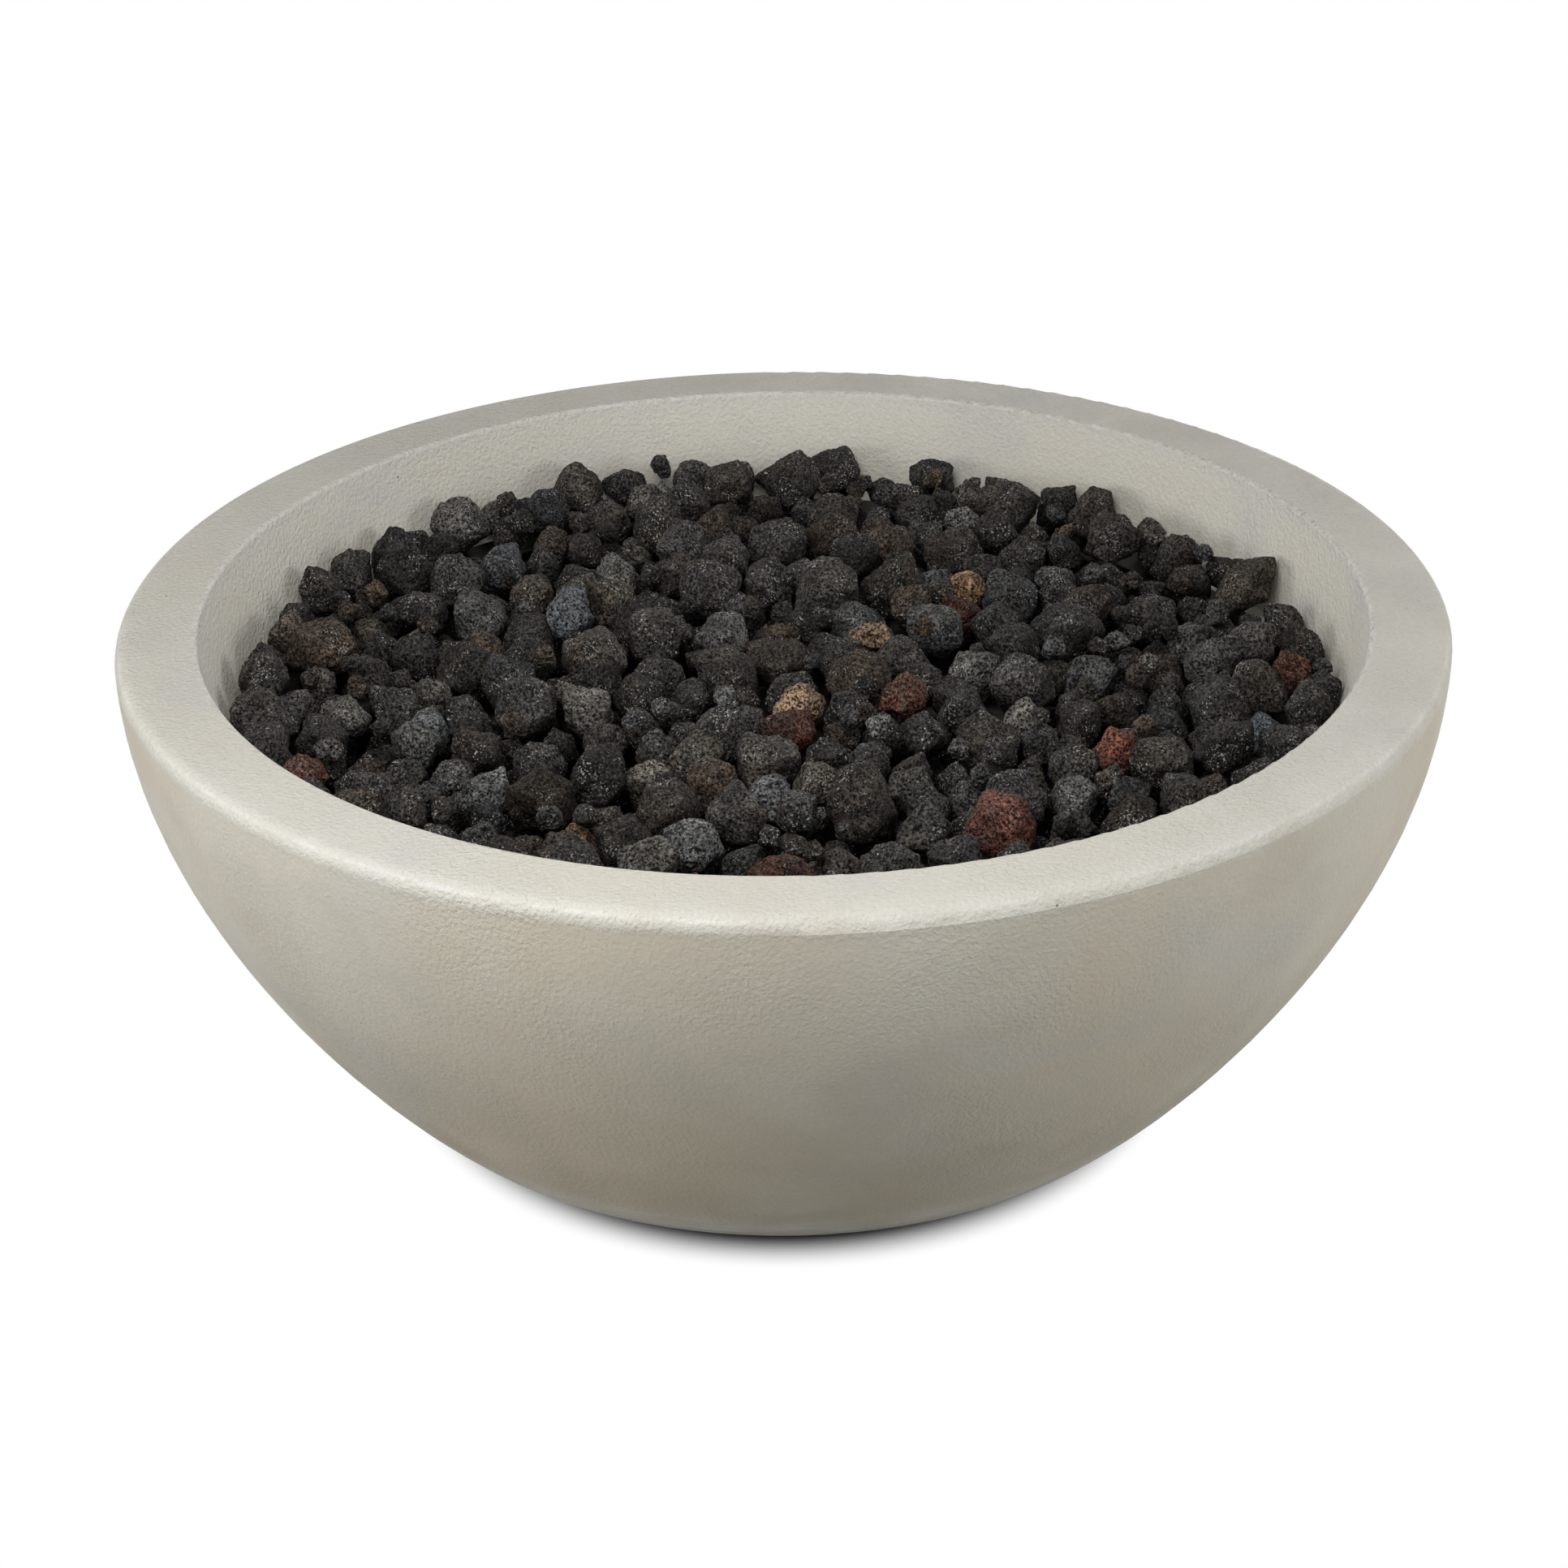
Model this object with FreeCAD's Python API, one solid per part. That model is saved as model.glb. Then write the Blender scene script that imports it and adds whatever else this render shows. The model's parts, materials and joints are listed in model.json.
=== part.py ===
import FreeCAD, Part
import math
import os
import random

# Gas fire bowl: a cast concrete bowl with a lava stone bed over a star burner.
# Sizes are millimetres. +Z is up, the floor is z = 0 and the controls face +Y, at the back.

# Bowl outside
rim_diameter = 737.0
bowl_height = 272.0
base_diameter = 445.0
base_edge_round = 25.0
base_flare_degrees = 36.0
upper_fullness = 137.0
lower_fullness = 16.3
rim_outer_round = 8.0

# Bowl inside
rim_width = 44.0
rim_inner_round = 3.0
well_draft_degrees = 14.0
ledge_depth = 65.0
ledge_lip_height = 14.0
haunch_degrees = 30.0
wall_thickness = 27.0
floor_thickness = 24.0
vent_diameter = 150.0

# Foot pads
pad_count = 4
pad_diameter = 50.0
pad_thickness = 8.0
pad_proud = 3.0
pad_circle_radius = 165.0
pad_edge_chamfer = 1.5
pad_pocket_clearance = 0.5

# Burner pan
pan_diameter = 548.0
pan_depth = 33.0
pan_sheet = 2.0
pan_bend = 4.0
pan_flange_width = 22.0
pan_ledge_clearance = 2.0
pan_screw_count = 6
pan_drain_count = 12
pan_drain_diameter = 10.0
pan_drain_circle_radius = 246.0

# Star burner
arm_count = 6
arm_length = 192.0
arm_diameter = 20.0
arm_wall = 1.8
arm_socket_depth = 9.0
arm_height_over_pan = 2.0
arm_port_diameter = 3.0
arm_port_stations = 4
arm_cap_thickness = 3.0
arm_cap_plug = 6.0
hub_diameter = 58.0
hub_height = 25.0
hub_edge_round = 4.0
stub_diameter = 21.0
stub_bore = 15.0
stub_length = 34.0
lock_nut_width = 34.0
lock_nut_height = 7.0

# Air mixer, jet and elbow
mixer_wall = 3.4
mixer_length = 54.0
mixer_overlap = 14.0
mixer_window_width = 8.0
mixer_window_height = 22.0
mixer_window_margin = 9.0
jet_plug_length = 8.0
jet_nose_diameter = 6.0
jet_nose_length = 10.0
jet_orifice_diameter = 2.0
jet_hex_width = 22.0
jet_hex_height = 7.0
jet_tail_diameter = 12.0
jet_tail_length = 9.0
elbow_diameter = 22.0
elbow_rise = 22.0
elbow_reach = 26.0

# Hose from valve to elbow
hose_diameter = 12.0
hose_bore = 9.0
hose_nut_width = 19.0
hose_nut_length = 16.0
hose_side_slack = 12.0

# Control recess at the back
panel_height_z = 104.0
recess_width = 170.0
recess_height = 84.0
recess_corner_round = 12.0
recess_seat_y = 266.0
recess_wall = 18.0
recess_back = 20.0
window_width = 124.0
window_height = 48.0

# Control panel
panel_width = 154.0
panel_height = 74.0
panel_sheet = 2.0
panel_corner_round = 8.0
panel_screw_inset = 7.5
control_pitch = 42.0

# Screws and inserts
screw_diameter = 5.0
screw_length = 14.0
screw_head_diameter = 9.5
screw_head_height = 2.6
screw_socket_width = 3.0
screw_socket_depth = 1.5
insert_diameter = 8.0
insert_length = 14.0

# Valve
valve_width = 34.0
valve_length = 40.0
valve_tall = 32.0
valve_set_back = 12.0
valve_boss_overlap = 5.0
valve_edge_round = 3.0
valve_neck_diameter = 14.0
valve_neck_proud = 7.0
valve_nut_width = 19.0
valve_nut_height = 4.0
valve_boss_diameter = 18.0
valve_outlet_length = 6.0
valve_inlet_length = 7.0
valve_inlet_back = 10.0
spindle_diameter = 8.0
spindle_inside = 16.0
spindle_flat = 1.2
washer_diameter = 12.0
washer_thickness = 1.5

# Control knob
knob_diameter = 46.0
knob_skirt_height = 13.0
knob_skirt_wall = 4.0
knob_hollow_depth = 8.5
knob_edge_round = 3.0
knob_taper = 1.0
knob_hub_wall = 3.5
knob_hub_proud = 0.7
knob_panel_gap = 5.5
knob_grip_width = 14.0
knob_grip_height = 12.0
knob_grip_round = 3.0
knob_grip_inset = 4.0
knob_grip_cap = 6.0
knob_pointer_width = 2.0
knob_pointer_depth = 0.8
knob_pointer_inset = 2.0
knob_push_travel = 4.0

# Igniter
igniter_flange_diameter = 28.0
igniter_flange_height = 3.0
igniter_flange_round = 1.0
igniter_barrel_diameter = 22.0
igniter_barrel_length = 40.0
igniter_tail_diameter = 18.0
igniter_tail_length = 23.0
igniter_terminal_diameter = 5.0
igniter_terminal_length = 8.0
igniter_nut_width = 28.0
igniter_button_diameter = 16.0
igniter_button_proud = 7.0
igniter_button_inside = 9.0
igniter_button_round = 2.5
igniter_travel = 5.0

# Gas inlet
inlet_thread_diameter = 15.88
inlet_thread_length = 13.0
inlet_cone_length = 4.0
inlet_cone_diameter = 10.4
inlet_hex_width = 22.0
inlet_hex_height = 6.0
inlet_tail_length = 26.0
inlet_bore = 8.0
inlet_nut_width = 24.0
inlet_nut_height = 5.0
inlet_pipe_diameter = 10.0
inlet_pipe_bore = 7.6
inlet_pipe_bend = 18.0

# Pilot group in the pan, between two arms
pilot_y = 80.0
electrode_x = 9.0
thermocouple_x = -9.0
electrode_diameter = 6.0
electrode_rise = 26.0
electrode_drop = 16.0
electrode_tip_diameter = 2.0
electrode_tip_length = 8.0
thermocouple_diameter = 5.0
thermocouple_rise = 28.0
thermocouple_drop = 12.0
pilot_hole_clearance = 2.0
bracket_sheet = 1.5
bracket_width = 38.0
bracket_rise = 13.0
bracket_tab = 11.0
bracket_shelf = 14.0
bracket_screw_pitch = 26.0
bracket_screw_diameter = 4.0
bracket_head_diameter = 7.0
bracket_head_height = 2.0
bracket_screw_end = 3.0
lead_diameter = 4.0
thermocouple_lead_diameter = 3.0
lead_port_inset = 5.0
lead_port_rise = 9.0

# Heat shield over the valve
shield_width = 150.0
shield_length = 90.0
shield_sheet = 1.2
shield_front_y = 148.0
shield_drop = 24.0
shield_lip = 8.0
standoff_diameter = 8.0
standoff_inset = 15.0

# Lava stones
stone_seed = 41
# Sizes as (share of the stones, least radius, most radius)
top_stone_sizes = ((0.30, 9.0, 12.0), (0.46, 12.0, 17.0), (0.24, 17.0, 22.0))
lower_stone_sizes = ((1.0, 14.0, 19.0),)
chip_sizes = ((1.0, 6.0, 9.5),)
top_stone_middle = 15.0
top_stone_cover = 0.88
lower_stone_cover = 0.66
chip_count = 90
chip_tries = 14
bed_peak_z = 255.0
bed_peak_spread = 7.0
stone_stretch = 1.5
stone_short_stretch = 1.12
stone_flatness = 0.28
top_stone_corners = 13
lower_stone_corners = 9
chip_corners = 9
chip_radius = 10.0
stone_roughness = 0.12
bed_wall_margin = 0.5
flange_edge_margin = 2.0
flange_edge_inset = 10.0
seats_per_stone = 3
contact_slack = 0.05
least_stone_room = 0.45
corner_spacing = 0.4

# Fits
seat_gap = 0.3
running_clearance = 0.05
screw_hole_clearance = 0.3
thread_clearance = 0.05
plate_hole_clearance = 0.3

# Levels that follow from the sizes
base_z = pad_proud
rim_z = base_z + bowl_height
rim_radius = rim_diameter / 2
well_radius = rim_radius - rim_width
ledge_z = rim_z - ledge_depth
well_slope = math.tan(math.radians(well_draft_degrees))
cavity_floor_z = base_z + floor_thickness
pan_radius = pan_diameter / 2
ledge_radius = pan_radius + pan_ledge_clearance
flange_radius = pan_radius + pan_flange_width
flange_z = ledge_z + pan_sheet
pan_under_z = flange_z - pan_depth
pan_floor_z = pan_under_z + pan_sheet
pan_screw_radius = (ledge_radius + flange_radius) / 2
flange_start = pan_radius - flange_edge_inset
arm_z = pan_floor_z + arm_height_over_pan + arm_diameter / 2
hub_radius = hub_diameter / 2
arm_start = hub_radius - arm_socket_depth
arm_end = arm_start + arm_length
stub_bottom_z = pan_under_z - stub_length
mixer_radius = stub_diameter / 2 + thread_clearance + mixer_wall
mixer_top_z = stub_bottom_z + mixer_overlap
mixer_bottom_z = mixer_top_z - mixer_length
jet_hex_bottom_z = mixer_bottom_z - jet_hex_height
elbow_z = jet_hex_bottom_z - elbow_rise
panel_face_y = recess_seat_y + panel_sheet
recess_inner_y = recess_seat_y - recess_back
recess_high_z = panel_height_z + recess_height / 2
valve_front_y = recess_seat_y - valve_set_back
valve_back_y = valve_front_y - valve_length
valve_outlet_y = valve_back_y - valve_outlet_length
neck_end_y = panel_face_y + valve_neck_proud
knob_back_y = panel_face_y + knob_panel_gap
knob_web_y = knob_back_y + knob_hollow_depth
knob_top_y = knob_back_y + knob_skirt_height
knob_hub_y = knob_web_y - knob_hub_proud
washer_front_y = knob_hub_y - seat_gap
inlet_tail_y = panel_face_y - inlet_tail_length
igniter_rear_y = panel_face_y - igniter_barrel_length
igniter_end_y = igniter_rear_y - igniter_tail_length
lead_start_y = igniter_end_y - igniter_terminal_length
bracket_y = pilot_y - bracket_shelf / 2

V = FreeCAD.Vector
Z_AXIS = V(0, 0, 1)
ORIGIN = V(0, 0, 0)


def polar(radius, degrees, z=0.0):
    angle = math.radians(degrees)
    return V(radius * math.cos(angle), radius * math.sin(angle), z)


# Closed outline in the XZ plane from corners (x, z) or (x, z, round)
def rounded_edges(corners):
    count = len(corners)
    starts = []
    ends = []
    arcs = []
    for i, corner in enumerate(corners):
        here = V(corner[0], 0, corner[1])
        radius = corner[2] if len(corner) > 2 else 0.0
        before = V(corners[i - 1][0], 0, corners[i - 1][1])
        after = V(corners[(i + 1) % count][0], 0, corners[(i + 1) % count][1])
        if radius == 0.0:
            starts.append(here)
            ends.append(here)
            arcs.append(None)
            continue
        back = before - here
        ahead = after - here
        back.normalize()
        ahead.normalize()
        half = back.getAngle(ahead) / 2
        cut = radius / math.tan(half)
        middle = back + ahead
        middle.normalize()
        centre = here + middle * (radius / math.sin(half))
        start = here + back * cut
        end = here + ahead * cut
        starts.append(start)
        ends.append(end)
        arcs.append(Part.Arc(start, centre - middle * radius, end).toShape())
    edges = []
    for i in range(count):
        if arcs[i] is not None:
            edges.append(arcs[i])
        following = starts[(i + 1) % count]
        if ends[i].distanceToPoint(following) > 1e-6:
            edges.append(Part.LineSegment(ends[i], following).toShape())
    return edges


def turned(corners):
    face = Part.Face(Part.Wire(rounded_edges(corners)))
    return face.revolve(ORIGIN, Z_AXIS, 360)


# A turned piece whose axis runs along +Y through (x, z)
def turned_along_y(corners, x, z):
    shape = turned(corners)
    shape.rotate(ORIGIN, V(1, 0, 0), -90)
    shape.translate(V(x, 0, z))
    return shape


def cylinder_z(radius, z_low, z_high, x=0.0, y=0.0):
    return Part.makeCylinder(radius, z_high - z_low, V(x, y, z_low), Z_AXIS)


def cylinder_y(radius, y_low, y_high, x, z):
    return Part.makeCylinder(radius, y_high - y_low, V(x, y_low, z), V(0, 1, 0))


def hexagon(width, height, bottom, axis):
    corner = width / 2 / math.cos(math.radians(30))
    points = [polar(corner, 60 * i) for i in range(7)]
    prism = Part.Face(Part.makePolygon(points)).extrude(V(0, 0, height))
    if axis == "y":
        prism.rotate(ORIGIN, V(1, 0, 0), -90)
    prism.translate(bottom)
    return prism


def nut(width, height, bore_radius, bottom, axis):
    direction = V(0, 1, 0) if axis == "y" else Z_AXIS
    hole = Part.makeCylinder(bore_radius, height, bottom, direction)
    return hexagon(width, height, bottom, axis).cut(hole)


# A box with rounded edges along Y, centred on (x, z)
def rounded_block_y(width, height, y_low, y_high, x, z, corner):
    block = Part.makeBox(width, y_high - y_low, height, V(x - width / 2, y_low, z - height / 2))
    if corner > 0:
        edges = [e for e in block.Edges if abs(e.tangentAt(e.FirstParameter).y) > 0.99]
        block = block.makeFillet(corner, edges)
    return block


# Straight runs joined by tangent arcs through hand-set points
def run_path(points):
    edges = []
    start = points[0]
    for i in range(1, len(points) - 1):
        here = points[i]
        back = points[i - 1] - here
        ahead = points[i + 1] - here
        shorter = min(back.Length, ahead.Length)
        back.normalize()
        ahead.normalize()
        turn = math.pi - back.getAngle(ahead)
        radius = 0.45 * shorter / math.tan(turn / 2)
        cut = radius * math.tan(turn / 2)
        inward = back + ahead
        inward.normalize()
        centre = here + inward * (radius / math.cos(turn / 2))
        arc_start = here + back * cut
        arc_end = here + ahead * cut
        edges.append(Part.LineSegment(start, arc_start).toShape())
        edges.append(Part.Arc(arc_start, centre - inward * radius, arc_end).toShape())
        start = arc_end
    edges.append(Part.LineSegment(start, points[-1]).toShape())
    return Part.Wire(edges)


def tube_along(points, radius):
    path = run_path(points)
    heading = points[1] - points[0]
    ring = Part.Wire(Part.Circle(points[0], heading, radius).toShape())
    return path.makePipeShell([ring], True, False)


def screw_z(x, y, seat_z):
    head_r = screw_head_diameter / 2
    shank_r = screw_diameter / 2
    head_z = seat_z + screw_head_height
    shape = turned([
        (0, seat_z - screw_length), (shank_r, seat_z - screw_length), (shank_r, seat_z),
        (head_r, seat_z), (head_r, head_z, screw_head_height * 0.8), (0, head_z),
    ])
    socket_bottom = V(0, 0, head_z - screw_socket_depth)
    shape = shape.cut(hexagon(screw_socket_width, screw_socket_depth, socket_bottom, "z"))
    shape.translate(V(x, y, 0))
    return shape


def screw_y(x, z, seat_y):
    shape = screw_z(0, 0, seat_y)
    shape.rotate(ORIGIN, V(1, 0, 0), -90)
    shape.translate(V(x, 0, z))
    return shape


# Concrete bowl
def bowl_outside():
    flare = math.radians(base_flare_degrees)
    along = V(math.cos(flare), 0, math.sin(flare))
    base_r = base_diameter / 2
    centre = V(base_r, 0, base_z + base_edge_round)
    edge_start = V(base_r, 0, base_z)
    edge_mid = centre + V(math.sin(flare / 2), 0, -math.cos(flare / 2)) * base_edge_round
    edge_end = centre + V(math.sin(flare), 0, -math.cos(flare)) * base_edge_round
    wall_top = V(rim_radius, 0, rim_z - rim_outer_round)
    wall = Part.BezierCurve()
    wall.setPoles([
        edge_end, edge_end + along * lower_fullness,
        V(rim_radius, 0, rim_z - upper_fullness), wall_top,
    ])
    round_centre = V(rim_radius - rim_outer_round, 0, rim_z - rim_outer_round)
    round_mid = round_centre + V(math.sqrt(0.5), 0, math.sqrt(0.5)) * rim_outer_round
    round_end = round_centre + V(0, 0, rim_outer_round)
    edges = [
        Part.LineSegment(V(0, 0, base_z), edge_start).toShape(),
        Part.Arc(edge_start, edge_mid, edge_end).toShape(),
        wall.toShape(),
        Part.Arc(wall_top, round_mid, round_end).toShape(),
        Part.LineSegment(round_end, V(0, 0, rim_z)).toShape(),
        Part.LineSegment(V(0, 0, rim_z), V(0, 0, base_z)).toShape(),
    ]
    return Part.Face(Part.Wire(edges)).revolve(ORIGIN, Z_AXIS, 360)


# The hollow follows the outside at the wall's thickness
def bowl_cavity():
    flare = math.radians(base_flare_degrees)
    along = V(math.cos(flare), 0, math.sin(flare))
    inward = V(-math.sin(flare), 0, math.cos(flare)) * wall_thickness
    base_r = base_diameter / 2
    centre = V(base_r, 0, base_z + base_edge_round)
    foot = centre + V(math.sin(flare), 0, -math.cos(flare)) * base_edge_round + inward
    top = V(rim_radius - wall_thickness, 0, rim_z - rim_outer_round)
    wall = Part.BezierCurve()
    wall.setPoles([
        foot, foot + along * lower_fullness,
        V(rim_radius - wall_thickness, 0, rim_z - upper_fullness), top,
    ])
    edges = [
        wall.toShape(),
        Part.LineSegment(top, V(0, 0, top.z)).toShape(),
        Part.LineSegment(V(0, 0, top.z), V(0, 0, foot.z)).toShape(),
        Part.LineSegment(V(0, 0, foot.z), foot).toShape(),
    ]
    inside = Part.Face(Part.Wire(edges)).revolve(ORIGIN, Z_AXIS, 360)
    floor_plug = cylinder_z(foot.x, cavity_floor_z, foot.z + 0.01)
    if foot.z > cavity_floor_z:
        inside = inside.fuse(floor_plug)
    haunch_z = ledge_z - ledge_lip_height
    haunch_drop = (rim_radius - ledge_radius) * math.tan(math.radians(haunch_degrees))
    limit = turned([
        (0, cavity_floor_z), (rim_radius, cavity_floor_z), (rim_radius, haunch_z - haunch_drop),
        (ledge_radius, haunch_z), (ledge_radius, ledge_z + 1), (0, ledge_z + 1),
    ])
    return inside.common(limit)


def bowl_well():
    ledge_wall = well_radius - ledge_depth * well_slope
    over = 20.0
    return turned([
        (0, ledge_z), (ledge_wall, ledge_z), (well_radius, rim_z), (well_radius, rim_z + over), (0, rim_z + over),
    ])


# Rounds the inner edge of the rim
def round_rim(shape):
    edges = []
    for edge in shape.Edges:
        box = edge.BoundBox
        flat = box.ZLength < 1e-6 and abs(box.ZMax - rim_z) < 1e-6
        if flat and abs(box.XMax - well_radius) < 1e-3:
            edges.append(edge)
    return shape.makeFillet(rim_inner_round, edges)


def pad_places():
    return [polar(pad_circle_radius, 45 + 360 / pad_count * i) for i in range(pad_count)]


def pan_screw_places():
    return [polar(pan_screw_radius, 30 + 360 / pan_screw_count * i) for i in range(pan_screw_count)]


def panel_screw_places():
    dx = panel_width / 2 - panel_screw_inset
    dz = panel_height / 2 - panel_screw_inset
    return [(sx * dx, panel_height_z + sz * dz) for sx in (-1, 1) for sz in (-1, 1)]


def bowl_shell():
    outside = bowl_outside()
    shell = outside.cut(bowl_well()).cut(bowl_cavity())
    pod_width = recess_width + 2 * recess_wall
    pod_top = recess_high_z + recess_wall
    pod = Part.makeBox(
        pod_width, rim_radius - recess_inner_y, pod_top - cavity_floor_z + 1,
        V(-pod_width / 2, recess_inner_y, cavity_floor_z - 1),
    )
    shell = shell.fuse(pod.common(outside)).removeSplitter()
    shell = round_rim(shell)
    cutters = [
        rounded_block_y(
            recess_width, recess_height, recess_seat_y, rim_radius + 1, 0, panel_height_z, recess_corner_round
        ),
        rounded_block_y(
            window_width, window_height, recess_inner_y - 1, recess_seat_y + 1, 0, panel_height_z,
            panel_corner_round,
        ),
        cylinder_z(vent_diameter / 2, base_z - 1, cavity_floor_z + 1),
    ]
    pocket_r = pad_diameter / 2 + pad_pocket_clearance
    for place in pad_places():
        cutters.append(cylinder_z(pocket_r, base_z - 1, pad_thickness, place.x, place.y))
    hole_r = insert_diameter / 2 + thread_clearance
    for place in pan_screw_places():
        cutters.append(cylinder_z(hole_r, ledge_z - insert_length - 1, ledge_z + 1, place.x, place.y))
    for x, z in panel_screw_places():
        cutters.append(cylinder_y(hole_r, recess_seat_y - insert_length - 1, recess_seat_y + 1, x, z))
    return shell.cut(cutters)


def foot_pads():
    pads = []
    r = pad_diameter / 2
    c = pad_edge_chamfer
    for place in pad_places():
        pad = turned([(0, 0), (r - c, 0), (r, c), (r, pad_thickness), (0, pad_thickness)])
        pad.translate(place)
        pads.append(pad)
    return pads


# Pan and its fixings
def burner_pan():
    inner = pan_radius - pan_sheet
    bend_in = pan_bend - pan_sheet
    pan = turned([
        (0, pan_under_z), (pan_radius, pan_under_z, pan_bend), (pan_radius, ledge_z, bend_in),
        (flange_radius, ledge_z), (flange_radius, flange_z), (inner, flange_z, pan_bend),
        (inner, pan_floor_z, bend_in), (0, pan_floor_z),
    ])
    low = pan_under_z - 1
    high = pan_floor_z + 1
    cutters = [cylinder_z(stub_diameter / 2 + plate_hole_clearance, low, high)]
    for i in range(pan_drain_count):
        place = polar(pan_drain_circle_radius, 15 + 360 / pan_drain_count * i)
        cutters.append(cylinder_z(pan_drain_diameter / 2, low, high, place.x, place.y))
    for place in pan_screw_places():
        hole_r = screw_diameter / 2 + screw_hole_clearance
        cutters.append(cylinder_z(hole_r, ledge_z - 1, flange_z + 1, place.x, place.y))
    for x, diameter in ((electrode_x, electrode_diameter), (thermocouple_x, thermocouple_diameter)):
        cutters.append(cylinder_z(diameter / 2 + pilot_hole_clearance, low, high, x, pilot_y))
    for sign in (-1, 1):
        hole_r = bracket_screw_diameter / 2 + plate_hole_clearance
        x = sign * bracket_screw_pitch / 2
        cutters.append(cylinder_z(hole_r, low, high, x, bracket_y - bracket_tab / 2))
    return pan.cut(cutters)


def pan_screws():
    return [screw_z(place.x, place.y, flange_z) for place in pan_screw_places()]


def insert(z_top):
    outer = insert_diameter / 2
    inner = screw_diameter / 2 + thread_clearance
    bottom = z_top - insert_length
    return turned([(inner, bottom), (outer, bottom), (outer, z_top), (inner, z_top)])


def pan_inserts():
    shapes = []
    for place in pan_screw_places():
        shape = insert(ledge_z)
        shape.translate(place)
        shapes.append(shape)
    return shapes


# Star burner
def arm_direction(index):
    return polar(1.0, 360 / arm_count * index)


def burner_hub():
    top = pan_floor_z + hub_height
    stub_r = stub_diameter / 2
    bore_r = stub_bore / 2
    roof_z = arm_z + bore_r
    hub = turned([
        (bore_r, stub_bottom_z), (stub_r, stub_bottom_z), (stub_r, pan_floor_z), (hub_radius, pan_floor_z),
        (hub_radius, top, hub_edge_round), (0, top), (0, roof_z), (bore_r, roof_z),
    ])
    sockets = []
    for i in range(arm_count):
        direction = arm_direction(i)
        socket_r = arm_diameter / 2 + thread_clearance
        start = V(0, 0, arm_z) + direction * arm_start
        sockets.append(Part.makeCylinder(socket_r, hub_radius, start, direction))
        sockets.append(Part.makeCylinder(arm_diameter / 2 - arm_wall, arm_start + 1, V(0, 0, arm_z), direction))
    return hub.cut(sockets)


def burner_arms():
    arms = []
    outer = arm_diameter / 2
    inner = outer - arm_wall
    free = arm_end - hub_radius
    for i in range(arm_count):
        direction = arm_direction(i)
        start = V(0, 0, arm_z) + direction * arm_start
        arm = Part.makeCylinder(outer, arm_length, start, direction)
        cutters = [Part.makeCylinder(inner, arm_length + 2, start - direction, direction)]
        side = V(-direction.y, direction.x, 0)
        for station in range(arm_port_stations):
            along = hub_radius + free * (station + 0.6) / arm_port_stations
            centre = V(0, 0, arm_z) + direction * along - side * (outer + 1)
            cutters.append(Part.makeCylinder(arm_port_diameter / 2, 2 * outer + 2, centre, side))
        arms.append(arm.cut(cutters))
    return arms


def arm_end_caps():
    caps = []
    outer = arm_diameter / 2
    plug = outer - arm_wall - thread_clearance
    for i in range(arm_count):
        direction = arm_direction(i)
        face = V(0, 0, arm_z) + direction * arm_end
        cap = Part.makeCylinder(outer, arm_cap_thickness, face, direction)
        plug_start = face - direction * arm_cap_plug
        caps.append(cap.fuse(Part.makeCylinder(plug, arm_cap_plug, plug_start, direction)))
    return caps


def hub_lock_nut():
    bore = stub_diameter / 2 + thread_clearance
    return nut(lock_nut_width, lock_nut_height, bore, V(0, 0, pan_under_z - lock_nut_height), "z")


# Gas train under the pan
def air_mixer():
    inner = stub_diameter / 2 + thread_clearance
    tube = turned([
        (inner, mixer_bottom_z), (mixer_radius, mixer_bottom_z), (mixer_radius, mixer_top_z), (inner, mixer_top_z),
    ])
    low = mixer_bottom_z + jet_plug_length + mixer_window_margin
    window = Part.makeBox(
        mixer_window_width, 2 * mixer_radius + 2, mixer_window_height,
        V(-mixer_window_width / 2, -mixer_radius - 1, low),
    )
    edges = [e for e in window.Edges if abs(e.tangentAt(e.FirstParameter).y) > 0.99]
    return tube.cut(window.makeFillet(mixer_window_width / 2 - 0.1, edges))


def gas_jet():
    plug_r = stub_diameter / 2
    nose_r = jet_nose_diameter / 2
    orifice_r = jet_orifice_diameter / 2
    tail_r = jet_tail_diameter / 2
    plug_top = mixer_bottom_z + jet_plug_length
    tail_z = jet_hex_bottom_z - jet_tail_length
    body = turned([
        (0, tail_z), (tail_r, tail_z), (tail_r, jet_hex_bottom_z), (plug_r, jet_hex_bottom_z),
        (plug_r, plug_top), (nose_r, plug_top), (nose_r, plug_top + jet_nose_length), (0, plug_top + jet_nose_length),
    ])
    body = body.fuse(hexagon(jet_hex_width, jet_hex_height, V(0, 0, jet_hex_bottom_z), "z"))
    return body.cut(cylinder_z(orifice_r, tail_z - 1, plug_top + jet_nose_length + 1))


def feed_elbow():
    r = elbow_diameter / 2
    bore = jet_tail_diameter / 2 + thread_clearance
    body = cylinder_z(r, elbow_z, jet_hex_bottom_z)
    body = body.fuse(cylinder_y(r, 0, elbow_reach, 0, elbow_z))
    body = body.fuse(Part.makeSphere(r, V(0, 0, elbow_z)))
    body = body.cut(cylinder_z(bore, elbow_z, jet_hex_bottom_z + 1))
    return body.cut(cylinder_y(hose_bore / 2, 0, elbow_reach + 1, 0, elbow_z))


def hose_route():
    start_y = elbow_reach
    end_y = valve_outlet_y
    rise = panel_height_z - elbow_z
    span = end_y - start_y
    return [
        V(0, start_y, elbow_z),
        V(0, start_y + 0.19 * span, elbow_z),
        V(hose_side_slack, start_y + 0.40 * span, elbow_z + 0.2 * rise),
        V(hose_side_slack, start_y + 0.62 * span, elbow_z + 0.8 * rise),
        V(0, start_y + 0.82 * span, panel_height_z),
        V(0, end_y, panel_height_z),
    ]


def gas_flex_connector():
    route = hose_route()
    return tube_along(route, hose_diameter / 2).cut(tube_along(route, hose_bore / 2))


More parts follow.
